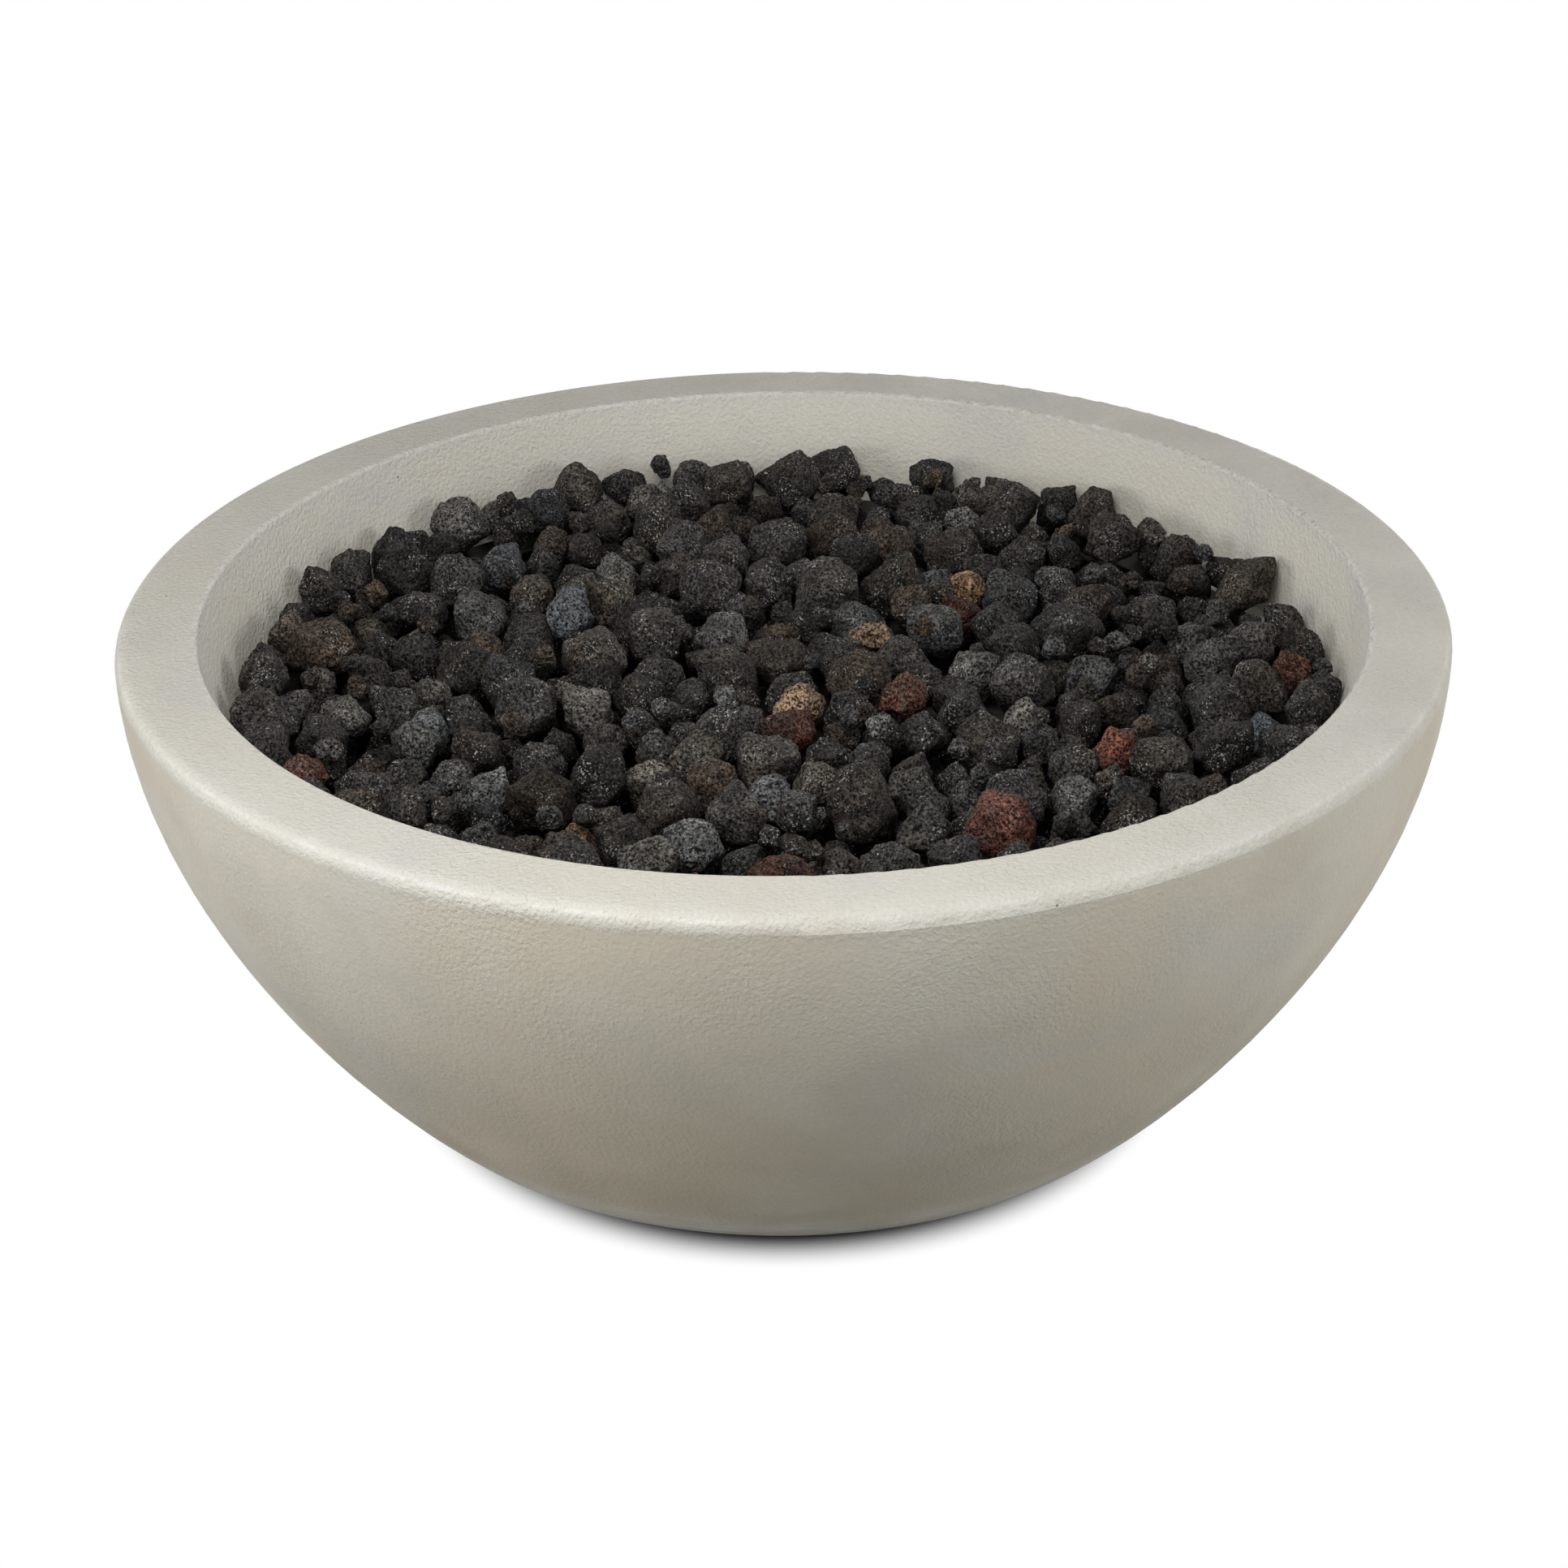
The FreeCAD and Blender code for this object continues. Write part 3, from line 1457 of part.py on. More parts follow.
def stone_bed():
    rng = random.Random(stone_seed)
    lower = lower_layer(rng)
    balls = lower + top_layer(rng, lower)
    balls += chips(rng, balls)
    for ball in balls:
        tilt = 2 * rng.random() - 1
        ball.long_axis = polar(math.sqrt(1 - tilt * tilt), 360 * rng.random(), tilt)
        ball.flatness = stone_flatness * rng.random()
    planes = {id(ball): [] for ball in balls}
    for i, ball in enumerate(balls):
        for other in balls[i + 1:]:
            reach = stone_stretch * (ball.r + other.r) + 1
            if abs(ball.x - other.x) < reach and abs(ball.y - other.y) < reach:
                if ball.place().distanceToPoint(other.place()) < reach:
                    add_pair(planes, ball, other)
    for ball in balls:
        add_fixed(planes, ball)
    for ball in balls:
        seat_stone(ball, planes)
    solids = {}
    for ball in balls:
        directions = stone_directions(rng, ball)
        points = []
        for direction in directions:
            reach = free_reach(ball, direction, planes[id(ball)], lowest_reach(ball))
            is_seat = any(direction is corner for corner in ball.corners)
            if not is_seat:
                across = 1 - direction.dot(ball.long_axis) ** 2
                reach *= (1 - stone_roughness * rng.random()) * (1 - ball.flatness * across)
            points.append(ball.place() + direction * reach)
        solids.setdefault(ball.kind, []).append(hull_solid(points))
    return solids


def write(name, shape):
    if isinstance(shape, list):
        shape = Part.makeCompound(shape)
    shape.exportStep(os.path.join("parts", name + ".step"))


def main():
    os.makedirs("parts", exist_ok=True)
    makers = (
        bowl_shell, foot_pads, burner_pan, pan_screws, pan_inserts, burner_hub, burner_arms, arm_end_caps,
        hub_lock_nut, air_mixer, gas_jet, feed_elbow, gas_flex_connector, flare_nuts, gas_valve_body, valve_nut,
        valve_spindle, spindle_washer, control_knob, control_panel, panel_screws, panel_inserts,
        gas_inlet_fitting, inlet_nut, inlet_pipe, igniter_body, igniter_nut, igniter_button, igniter_lead,
        spark_electrode, thermocouple, thermocouple_lead, pilot_bracket, bracket_screws, heat_shield,
        shield_standoffs,
    )
    for make in makers:
        write(make.__name__, make())
    for kind, solids in stone_bed().items():
        write("lava_stones_" + kind, solids)


main()
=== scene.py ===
import json
import math

import bpy
import numpy as np
from mathutils import Matrix, Quaternion, Vector


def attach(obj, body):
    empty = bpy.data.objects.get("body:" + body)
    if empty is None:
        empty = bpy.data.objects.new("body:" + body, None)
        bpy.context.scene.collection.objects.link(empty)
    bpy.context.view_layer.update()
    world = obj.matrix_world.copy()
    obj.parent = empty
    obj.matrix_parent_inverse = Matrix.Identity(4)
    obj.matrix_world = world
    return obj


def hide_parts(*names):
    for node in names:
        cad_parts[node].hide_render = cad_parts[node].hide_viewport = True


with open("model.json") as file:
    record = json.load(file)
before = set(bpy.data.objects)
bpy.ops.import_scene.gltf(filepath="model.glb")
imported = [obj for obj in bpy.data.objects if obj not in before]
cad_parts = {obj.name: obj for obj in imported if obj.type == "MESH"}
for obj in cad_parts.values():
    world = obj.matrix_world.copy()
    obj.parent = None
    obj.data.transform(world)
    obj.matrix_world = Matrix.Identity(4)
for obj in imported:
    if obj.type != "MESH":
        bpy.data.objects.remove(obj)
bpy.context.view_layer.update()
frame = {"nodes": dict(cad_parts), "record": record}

# Looks of the gas fire bowl. Metres, in the same frame as the solids.

# Bowl places that the concrete's colours, wear, painted highlights and painted shade follow
rim_radius = 0.3685
well_radius = 0.3245
rim_height = 0.275
wear_highlight_inset = 0.0015
wear_highlight_reach = 0.0026
inner_wear_highlight_reach = 0.0035
notch_reach = 0.005
band_foot = 0.263
band_top = 0.2685
band_wander = 0.012
inner_wall_foot_span = (0.195, 0.205)
rim_top_span = (0.262, 0.274)
base_shade_span = (0.015, 0.25)
base_shade = 0.66
streak_and_light_span = (0.012, 0.05)

# Concrete colours
cloud_dark = (0.610, 0.556, 0.445)
cloud_pale = (0.642, 0.608, 0.518)
patch_colour = (0.575, 0.545, 0.465)
warm_colour = (0.565, 0.500, 0.405)
cool_colour = (0.575, 0.568, 0.555)
# Painted light: paler inner wall
inner_wall_light_colour = (0.715, 0.690, 0.620)
# Painted light: greyer, paler rim top
rim_top_light_colour = (0.648, 0.634, 0.592)
speck_colour = (0.42, 0.395, 0.335)
# Painted shade towards the base
base_shade_colour = (0.305, 0.260, 0.178)
# Wear and painted highlights along the rim's edges
band_wear_highlight_colour = (0.70, 0.69, 0.635)
outer_wear_highlight_colour = (0.80, 0.79, 0.755)
inner_wear_highlight_colour = (0.76, 0.745, 0.70)
# Pale streaks, with painted light at the base
streak_and_light_colour = (0.72, 0.71, 0.67)
# Painted shade in the pinholes
pinhole_shade_colour = (0.20, 0.185, 0.155)

# Concrete relief: features per metre, heights beside the peel's own, depth in metres
peel_scale = 430.0
wave_scale = 45.0
wave_height = 0.45
edge_chip_scale = 150.0
notch_height = 2.6
pinhole_scale = 55.0
pinhole_width_range = (0.022, 0.045)
pinhole_height = 1.6
concrete_depth = 0.0012
concrete_specular = 0.15

# Steels as (colour, roughness, stretch of the drawn lines, level of the stains)
steel_looks = {
    "pan_steel": ((0.52, 0.52, 0.51), 0.38, (0.06, 1.0, 1.0), 0.72),
    "panel_steel": ((0.62, 0.62, 0.61), 0.30, (0.03, 1.0, 1.0), 0.86),
    "burner_steel": ((0.36, 0.33, 0.30), 0.46, (1.0, 1.0, 1.0), 0.6),
    "fixing_steel": ((0.60, 0.60, 0.60), 0.30, (1.0, 1.0, 1.0), 0.8),
    "hose_steel": ((0.56, 0.56, 0.55), 0.34, (1.0, 0.25, 1.0), 0.75),
    "lead_metal": ((0.60, 0.36, 0.24), 0.34, (1.0, 0.3, 1.0), 0.7),
    "pipe_aluminium": ((0.74, 0.74, 0.75), 0.36, (1.0, 0.2, 1.0), 0.82),
}
# Heights between which a steel turns dark, and how dark: soot, and painted shade so the gaps between the
# stones look dark
soot_and_shade_spans = {"pan_steel": (0.1795, 0.1805, 0.97), "burner_steel": (0.178, 0.186, 0.93)}
soot_and_shade_colour = (0.010, 0.009, 0.008)
brass_colours = {"insert_brass": (0.72, 0.55, 0.26), "gas_brass": (0.74, 0.56, 0.27)}

# Plastics and rubbers as (colour, roughness, depth of texture, specular level)
moulded_looks = {
    "pad_rubber": ((0.030, 0.030, 0.030), 0.75, 0.0003, 0.25),
    "knob_plastic": ((0.022, 0.022, 0.023), 0.46, 0.00018, 0.45),
    "igniter_plastic": ((0.028, 0.028, 0.029), 0.42, 0.00015, 0.45),
    "button_plastic": ((0.034, 0.033, 0.033), 0.22, 0.00005, 0.5),
    "lead_rubber": ((0.060, 0.050, 0.042), 0.6, 0.0002, 0.3),
}

# White line in the groove of the knob's grip
knob_line_half_width = 0.00095
knob_line_back = 0.2972
knob_line_front = 0.2981
knob_line_foot = 0.1058
knob_line_colour = (0.78, 0.78, 0.76)

# Lava as (dark, pale, stain, share of the stain, level of the pale points)
lava_looks = {
    "lava_charcoal": ((0.0185, 0.0178, 0.0168), (0.0495, 0.0468, 0.0440), (0.045, 0.034, 0.026), 0.45, 0.95),
    "lava_grey": ((0.055, 0.0545, 0.0535), (0.125, 0.124, 0.121), (0.060, 0.055, 0.048), 0.5, 0.95),
    "lava_brown": ((0.028, 0.0218, 0.0172), (0.065, 0.0495, 0.0385), (0.028, 0.026, 0.024), 0.7, 0.7),
    "lava_rust": ((0.070, 0.026, 0.017), (0.150, 0.057, 0.038), (0.050, 0.034, 0.027), 0.6, 0.4),
    "lava_tan": ((0.130, 0.078, 0.047), (0.330, 0.215, 0.130), (0.100, 0.072, 0.050), 0.5, 0.5),
}
lava_facing_up_colour = (0.16, 0.15, 0.13)
# Painted shade in the vesicles
lava_hole_shade_colour = (0.0025, 0.0022, 0.002)
# Painted shade in the pits
lava_pit_shade_colour = (0.0035, 0.003, 0.0028)
# Pale specks with painted glints
lava_speck_glint_colour = (0.52, 0.51, 0.48)
# Painted shade lower in the stone bed
bed_shade_full_height = 0.206
bed_shade_end_height = 0.236
bed_shade_level = 0.28

# Lava grain as features per metre, holes as (cells per metre, widest hole in a cell)
lava_grain_scale = 560.0
lava_large_holes = (300.0, 0.40)
lava_small_holes = (620.0, 0.62)
lava_depth = 0.0009
lava_specular = 0.12

# Camera
camera_place = (0.0, -1.6567, 1.0075)
camera_aim = (-0.0008, 0.0, 0.1559)
camera_roll_degrees = -0.85
camera_lens = 74.27
camera_sensor = 36.0
camera_near = 0.05
camera_far = 60.0

# Lamps as (name, place, aim, size, watts), the world and the floor
lamps = (
    ("key", (-0.15, -0.62, 1.05), (0.0, -0.2, 0.25), 0.7, 7.1),
    ("left", (-1.9, -0.75, 0.55), (0.0, -0.05, 0.2), 1.0, 15.2),
    ("right", (1.9, -0.6, 0.55), (0.0, -0.05, 0.2), 1.0, 15.0),
    ("front_left", (-1.3, -1.9, 0.8), (0.0, -0.05, 0.2), 1.0, 3.2),
    ("back", (0.6, 2.3, 0.38), (0.0, 0.0, 0.15), 1.0, 11.0),
)
world_level = 0.18
floor_size = 14.0
floor_shadow_radius = 0.225
floor_white_radius = 0.258
floor_shadow_squeeze = 1.09
# Painted shadow on the floor under the bowl
floor_painted_shadow_level = 0.08
floor_pale_level = 0.42
floor_roughness = 0.9

# Stones
stone_seed = 7
visible_subdivisions = 5
lower_subdivisions = 4
stones_per_piece = 38
lower_stones_per_piece = 152
weld_steps_per_metre = 1e6
least_face_normal = 1e-12
least_plane_reach = 0.002
facet_sharpness = 24.0
stone_growth = 1.08
chip_count = 7
chip_reach_range = (0.74, 1.02)
dent_count = 5
dent_width_range = (0.22, 0.55)
dent_depth_range = (0.03, 0.19)
# Lumps as (height, width), and ridges, as shares of the stone's radius
lumps = ((0.085, 0.75), (0.06, 0.34))
ridge_height = 0.055
ridge_width = 0.22
ridge_middle = 0.6
field_shift_range = (0.0, 90.0)
pit_depth = 0.0013
pit_spacing_range = (0.0026, 0.0042)
pit_depth_range = (0.7, 1.5)
pit_width = 0.42
grain_depth = 0.0005
grain_width = 0.0013

# Colour shifts from stone to stone
tint_level_spread = 0.30
tint_level_range = (0.45, 1.9)
tint_warmth = 0.03
tint_warmth_spread = 0.05
cool_share = 0.10
cool_strength = 0.6
green_warmth = 0.15
blue_warmth = 1.2
# Painted shade on the lower layer of stones
lower_stone_shade_level = 0.45

rng = np.random.default_rng(stone_seed)


# Node helpers
def new_material(name):
    material = bpy.data.materials.new(name)
    material.use_nodes = True
    tree = material.node_tree
    shader = tree.nodes["Principled BSDF"]
    return material, tree, shader


def link_value(tree, value, socket):
    if isinstance(value, bpy.types.NodeSocket):
        tree.links.new(value, socket)
    else:
        socket.default_value = value


def object_coords(tree):
    return tree.nodes.new("ShaderNodeTexCoord").outputs["Object"]


def scaled(tree, coords, factors):
    node = tree.nodes.new("ShaderNodeMapping")
    node.inputs["Scale"].default_value = factors
    tree.links.new(coords, node.inputs["Vector"])
    return node.outputs["Vector"]


def noise(tree, coords, scale, detail=3.0, roughness=0.55, distortion=0.0):
    node = tree.nodes.new("ShaderNodeTexNoise")
    node.inputs["Scale"].default_value = scale
    node.inputs["Detail"].default_value = detail
    node.inputs["Roughness"].default_value = roughness
    node.inputs["Distortion"].default_value = distortion
    tree.links.new(coords, node.inputs["Vector"])
    return node.outputs["Fac"]


def cells(tree, coords, scale, randomness=1.0):
    node = tree.nodes.new("ShaderNodeTexVoronoi")
    node.inputs["Scale"].default_value = scale
    node.inputs["Randomness"].default_value = randomness
    tree.links.new(coords, node.inputs["Vector"])
    return node.outputs["Distance"], node.outputs["Color"]


def span(tree, value, low, high, to_low=0.0, to_high=1.0, smooth=True):
    node = tree.nodes.new("ShaderNodeMapRange")
    node.interpolation_type = "SMOOTHSTEP" if smooth else "LINEAR"
    node.inputs["From Min"].default_value = low
    node.inputs["From Max"].default_value = high
    node.inputs["To Min"].default_value = to_low
    node.inputs["To Max"].default_value = to_high
    tree.links.new(value, node.inputs["Value"])
    return node.outputs["Result"]


def calc(tree, operation, first, second=0.0):
    node = tree.nodes.new("ShaderNodeMath")
    node.operation = operation
    link_value(tree, first, node.inputs[0])
    link_value(tree, second, node.inputs[1])
    return node.outputs["Value"]


def product(tree, first, *others):
    for other in others:
        first = calc(tree, "MULTIPLY", first, other)
    return first


def with_alpha(colour):
    return (*colour, 1.0) if isinstance(colour, tuple) else colour


def blend_colours(tree, factor, first, second, mode="MIX"):
    node = tree.nodes.new("ShaderNodeMix")
    node.data_type = "RGBA"
    node.blend_type = mode
    link_value(tree, factor, node.inputs["Factor"])
    link_value(tree, with_alpha(first), node.inputs["A"])
    link_value(tree, with_alpha(second), node.inputs["B"])
    return node.outputs["Result"]


def bump(tree, shader, height, strength, distance):
    node = tree.nodes.new("ShaderNodeBump")
    node.inputs["Strength"].default_value = strength
    node.inputs["Distance"].default_value = distance
    tree.links.new(height, node.inputs["Height"])
    tree.links.new(node.outputs["Normal"], shader.inputs["Normal"])


def split(tree, vector):
    node = tree.nodes.new("ShaderNodeSeparateXYZ")
    tree.links.new(vector, node.inputs["Vector"])
    return node.outputs["X"], node.outputs["Y"], node.outputs["Z"]


def red_part(tree, colour):
    node = tree.nodes.new("ShaderNodeSeparateColor")
    tree.links.new(colour, node.inputs["Color"])
    return node.outputs["Red"]


# Grey level as a colour, to multiply another colour by
def grey_colour(tree, value):
    node = tree.nodes.new("ShaderNodeCombineColor")
    for channel in ("Red", "Green", "Blue"):
        tree.links.new(value, node.inputs[channel])
    return node.outputs["Color"]


# Length of the vector with these two parts
def length_of(tree, across, along):
    squares = calc(tree, "ADD", product(tree, across, across), product(tree, along, along))
    return calc(tree, "SQRT", squares)


# How near a point is to a ring of the bowl, 1 on it and 0 past the reach
def ring_nearness(tree, radial, height, ring_radius, ring_height, reach):
    across = calc(tree, "SUBTRACT", radial, ring_radius)
    up = calc(tree, "SUBTRACT", height, ring_height)
    return span(tree, length_of(tree, across, up), 0.0, reach, 1.0, 0.0)


# Clouds, patches, warm and cool areas and specks, with painted light that makes the inner wall paler and the
# top greyer, and painted shade towards the base
def concrete_colour(tree, coords, z, patches, inner, top):
    clouds = noise(tree, coords, 6.5, 3.0, 0.5, 0.6)
    colour = blend_colours(tree, span(tree, clouds, 0.36, 0.64), cloud_dark, cloud_pale)
    colour = blend_colours(tree, span(tree, patches, 0.42, 0.72, 0.0, 0.55), colour, patch_colour)
    warm = noise(tree, scaled(tree, coords, (1.0, 1.0, 1.9)), 9.0, 2.0, 0.5)
    colour = blend_colours(tree, span(tree, warm, 0.54, 0.74, 0.0, 0.5), colour, warm_colour)
    # Painted light: the inner wall is made paler
    colour = blend_colours(tree, inner, colour, inner_wall_light_colour)
    # Painted light: the rim top is made greyer and paler
    colour = blend_colours(tree, product(tree, top, 0.55), colour, rim_top_light_colour)
    cool = noise(tree, scaled(tree, coords, (1.0, 1.0, 1.4)), 7.5, 3.0, 0.55, 0.5)
    colour = blend_colours(tree, span(tree, cool, 0.53, 0.72, 0.0, 0.55), colour, cool_colour)
    speckle = noise(tree, coords, 420.0, 2.0, 0.6)
    colour = blend_colours(tree, span(tree, speckle, 0.3, 0.7, 0.0, 0.20, False), colour, speck_colour)
    # Painted shade: darker towards the base, as in the photo
    return blend_colours(tree, span(tree, z, *base_shade_span, base_shade, 0.0), colour, base_shade_colour)


# Pale lines along the rim's outer and inner edges, with a soft ragged band under the outer one: wear and
# painted highlights
def add_edge_wear_and_highlights(tree, coords, radial, z, chips, colour):
    ragged = noise(tree, coords, 34.0, 4.0, 0.6)
    wander = product(tree, calc(tree, "SUBTRACT", ragged, 0.5), band_wander)
    band = span(tree, calc(tree, "ADD", z, wander), band_foot, band_top)
    outer = span(tree, radial, well_radius + 0.02, rim_radius - 0.004)
    band = product(tree, band, outer, span(tree, ragged, 0.36, 0.58, 0.10, 0.35))
    colour = blend_colours(tree, band, colour, band_wear_highlight_colour)
    line = ring_nearness(tree, radial, z, rim_radius - wear_highlight_inset, rim_height - wear_highlight_inset, wear_highlight_reach)
    line = product(tree, line, span(tree, ragged, 0.36, 0.62, 0.25, 0.9))
    line = product(tree, line, span(tree, chips, 0.36, 0.54, 0.35, 1.0))
    colour = blend_colours(tree, line, colour, outer_wear_highlight_colour)
    thin = ring_nearness(tree, radial, z, well_radius, rim_height, inner_wear_highlight_reach)
    thin = product(tree, thin, span(tree, chips, 0.40, 0.58, 0.0, 0.7))
    return blend_colours(tree, thin, colour, inner_wear_highlight_colour)


# Pale streaks low on the wall, over an even pale band at the base that is painted light
def add_streaks_and_base_light(tree, coords, z, colour):
    streaks = noise(tree, scaled(tree, coords, (1.0, 1.0, 7.0)), 26.0, 3.0, 0.6)
    low = span(tree, z, *streak_and_light_span, 1.0, 0.0)
    streaks = product(tree, span(tree, streaks, 0.46, 0.70, 0.42, 0.72), low)
    return blend_colours(tree, streaks, colour, streak_and_light_colour)


# Pinholes left by air in the mould, 1 in a hole
def pinholes(tree, coords):
    distance, cell_colour = cells(tree, coords, pinhole_scale)
    hole = span(tree, distance, *pinhole_width_range, 1.0, 0.0)
    return product(tree, hole, span(tree, red_part(tree, cell_colour), 0.86, 0.90))


# Orange peel in patches, a slow waviness, notches along the inner edge and the pinholes
def concrete_relief(tree, coords, radial, z, rough_places, chips, hole):
    peel_area = span(tree, noise(tree, coords, 8.0, 2.0, 0.5), 0.42, 0.62, 0.45, 1.0)
    rough_area = calc(tree, "ADD", peel_area, product(tree, rough_places, 0.9))
    peel = product(tree, noise(tree, coords, peel_scale, 2.0, 0.55), rough_area)
    waves = product(tree, noise(tree, coords, wave_scale, 3.0, 0.5), wave_height)
    edge = ring_nearness(tree, radial, z, well_radius, rim_height, notch_reach)
    notches = product(tree, calc(tree, "SUBTRACT", chips, 0.5), edge, notch_height)
    height = calc(tree, "ADD", calc(tree, "ADD", peel, waves), notches)
    return calc(tree, "SUBTRACT", height, product(tree, hole, pinhole_height))


def concrete_material():
    material, tree, shader = new_material("concrete")
    coords = object_coords(tree)
    x, y, z = split(tree, coords)
    radial = length_of(tree, x, y)
    inner = span(tree, radial, well_radius - 0.001, well_radius + 0.001, 0.75, 0.0)
    inner = product(tree, inner, span(tree, z, *inner_wall_foot_span))
    top = span(tree, z, *rim_top_span)
    patches = noise(tree, coords, 19.0, 4.0, 0.55, 0.3)
    chips = noise(tree, coords, edge_chip_scale, 3.0, 0.65)
    hole = pinholes(tree, coords)
    colour = concrete_colour(tree, coords, z, patches, inner, top)
    colour = add_edge_wear_and_highlights(tree, coords, radial, z, chips, colour)
    colour = add_streaks_and_base_light(tree, coords, z, colour)
    # Painted shade in the pinholes
    colour = blend_colours(tree, product(tree, hole, 0.6), colour, pinhole_shade_colour)
    tree.links.new(colour, shader.inputs["Base Color"])
    tree.links.new(span(tree, patches, 0.3, 0.7, 0.52, 0.70, False), shader.inputs["Roughness"])
    shader.inputs["Specular IOR Level"].default_value = concrete_specular
    rough_places = calc(tree, "MAXIMUM", top, inner)
    relief = concrete_relief(tree, coords, radial, z, rough_places, chips, hole)
    bump(tree, shader, relief, 0.8, concrete_depth)
    return material


# Vesicle mask from cell distance, 1 in the middle of a hole
def vesicles(tree, coords, scale, share):
    distance, cell_colour = cells(tree, coords, scale)
    size = span(tree, red_part(tree, cell_colour), 0.0, 1.0, 0.12, share, False)
    away = calc(tree, "SUBTRACT", size, distance)
    reach = calc(tree, "SUBTRACT", size, product(tree, size, 0.55))
    return calc(tree, "MINIMUM", calc(tree, "MAXIMUM", calc(tree, "DIVIDE", away, reach), 0.0), 1.0)


def attribute(tree, name, output):
    node = tree.nodes.new("ShaderNodeAttribute")
    node.attribute_name = name
    return node.outputs[output]


# Stone colour: its own two levels, stains, its tint, and painted shade lower down in the bed, as in the
# photo
def lava_colour(tree, coords, dark, pale, stain, stain_share):
    slow = noise(tree, coords, 60.0, 3.0, 0.6)
    colour = blend_colours(tree, span(tree, slow, 0.35, 0.68), dark, pale)
    patches = noise(tree, coords, 34.0, 3.0, 0.6, 0.8)
    colour = blend_colours(tree, span(tree, patches, 0.48, 0.64, 0.0, stain_share), colour, stain)
    colour = blend_colours(tree, 1.0, colour, attribute(tree, "tint", "Color"), "MULTIPLY")
    # A little paler where it faces up
    normal = tree.nodes.new("ShaderNodeTexCoord").outputs["Normal"]
    facing_up = span(tree, split(tree, normal)[2], 0.1, 1.0, 0.0, 0.06)
    colour = blend_colours(tree, facing_up, colour, lava_facing_up_colour)
    # Painted shade: darker lower down in the bed
    height = split(tree, coords)[2]
    level = span(tree, height, bed_shade_full_height, bed_shade_end_height, bed_shade_level, 1.0)
    return blend_colours(tree, 1.0, colour, grey_colour(tree, level), "MULTIPLY")


# Rare pale points: specks, glassy in the real stone, and painted glints
def add_specks_and_glints(tree, coords, speck_level, colour):
    points = noise(tree, coords, 800.0, 1.0, 0.5)
    rare = span(tree, noise(tree, coords, 70.0, 2.0, 0.5), 0.46, 0.70, 0.12, 1.0)
    points = product(tree, span(tree, points, 0.58, 0.70, 0.0, speck_level), rare)
    return blend_colours(tree, points, colour, lava_speck_glint_colour)


def lava_material(name, dark, pale, stain, stain_share, speck_level):
    material, tree, shader = new_material(name)
    coords = object_coords(tree)
    colour = lava_colour(tree, coords, dark, pale, stain, stain_share)
    fine = noise(tree, coords, lava_grain_scale, 3.0, 0.7)
    grain = span(tree, fine, 0.37, 0.66, 0.0, 2.6, False)
    colour = blend_colours(tree, 1.0, colour, grey_colour(tree, grain), "MULTIPLY")
    large = vesicles(tree, coords, *lava_large_holes)
    small = vesicles(tree, coords, *lava_small_holes)
    holes = calc(tree, "MAXIMUM", large, product(tree, small, 0.92))
    # Painted shade in the vesicles
    colour = blend_colours(tree, product(tree, holes, 0.94), colour, lava_hole_shade_colour)
    # Painted shade in the pits cut into the stone's surface
    hollow = span(tree, attribute(tree, "hollow", "Fac"), 0.0, 1.0, 0.0, 0.75, False)
    colour = blend_colours(tree, hollow, colour, lava_pit_shade_colour)
    colour = add_specks_and_glints(tree, coords, speck_level, colour)
    tree.links.new(colour, shader.inputs["Base Color"])
    tree.links.new(span(tree, fine, 0.3, 0.7, 0.66, 0.92, False), shader.inputs["Roughness"])
    shader.inputs["Specular IOR Level"].default_value = lava_specular
    relief = calc(tree, "SUBTRACT", product(tree, fine, 0.9), holes)
    bump(tree, shader, relief, 0.9, lava_depth)
    return material


# Metal with fine lines drawn along one axis
def steel_material(name, colour, roughness, stretch, dull):
    material, tree, shader = new_material(name)
    coords = object_coords(tree)
    lines = noise(tree, scaled(tree, coords, stretch), 900.0, 3.0, 0.6)
    stains = noise(tree, coords, 28.0, 4.0, 0.6)
    darker = tuple(channel * dull for channel in colour)
    base = blend_colours(tree, span(tree, stains, 0.35, 0.7), colour, darker)
    base = blend_colours(tree, span(tree, lines, 0.4, 0.7, 0.0, 0.3), base, darker)
    tree.links.new(base, shader.inputs["Base Color"])
    shader.inputs["Metallic"].default_value = 1.0
    rough = calc(tree, "ADD", span(tree, lines, 0.3, 0.7, roughness - 0.07, roughness + 0.07, False),
                 span(tree, stains, 0.4, 0.7, 0.0, 0.12))
    tree.links.new(rough, shader.inputs["Roughness"])
    bump(tree, shader, lines, 0.25, 0.0002)
    return material


# Darkens a metal above a height with soot and painted shade, so that the gaps between the stones look dark
def add_soot_and_shade(material, low, high, share):
    tree = material.node_tree
    shader = tree.nodes["Principled BSDF"]
    height = split(tree, object_coords(tree))[2]
    soot_and_shade_mask = span(tree, height, low, high, 0.0, share)
    plain = shader.inputs["Base Color"].links[0].from_socket
    tree.links.new(blend_colours(tree, soot_and_shade_mask, plain, soot_and_shade_colour), shader.inputs["Base Color"])


def brass_material(name, colour):
    material, tree, shader = new_material(name)
    coords = object_coords(tree)
    stains = noise(tree, coords, 60.0, 4.0, 0.6)
    fine = noise(tree, coords, 700.0, 2.0, 0.5)
    tarnish = (colour[0] * 0.62, colour[1] * 0.52, colour[2] * 0.42)
    base = blend_colours(tree, span(tree, stains, 0.42, 0.72, 0.0, 0.8), colour, tarnish)
    tree.links.new(base, shader.inputs["Base Color"])
    shader.inputs["Metallic"].default_value = 1.0
    tree.links.new(span(tree, stains, 0.3, 0.7, 0.26, 0.44, False), shader.inputs["Roughness"])
    bump(tree, shader, fine, 0.2, 0.0002)
    return material


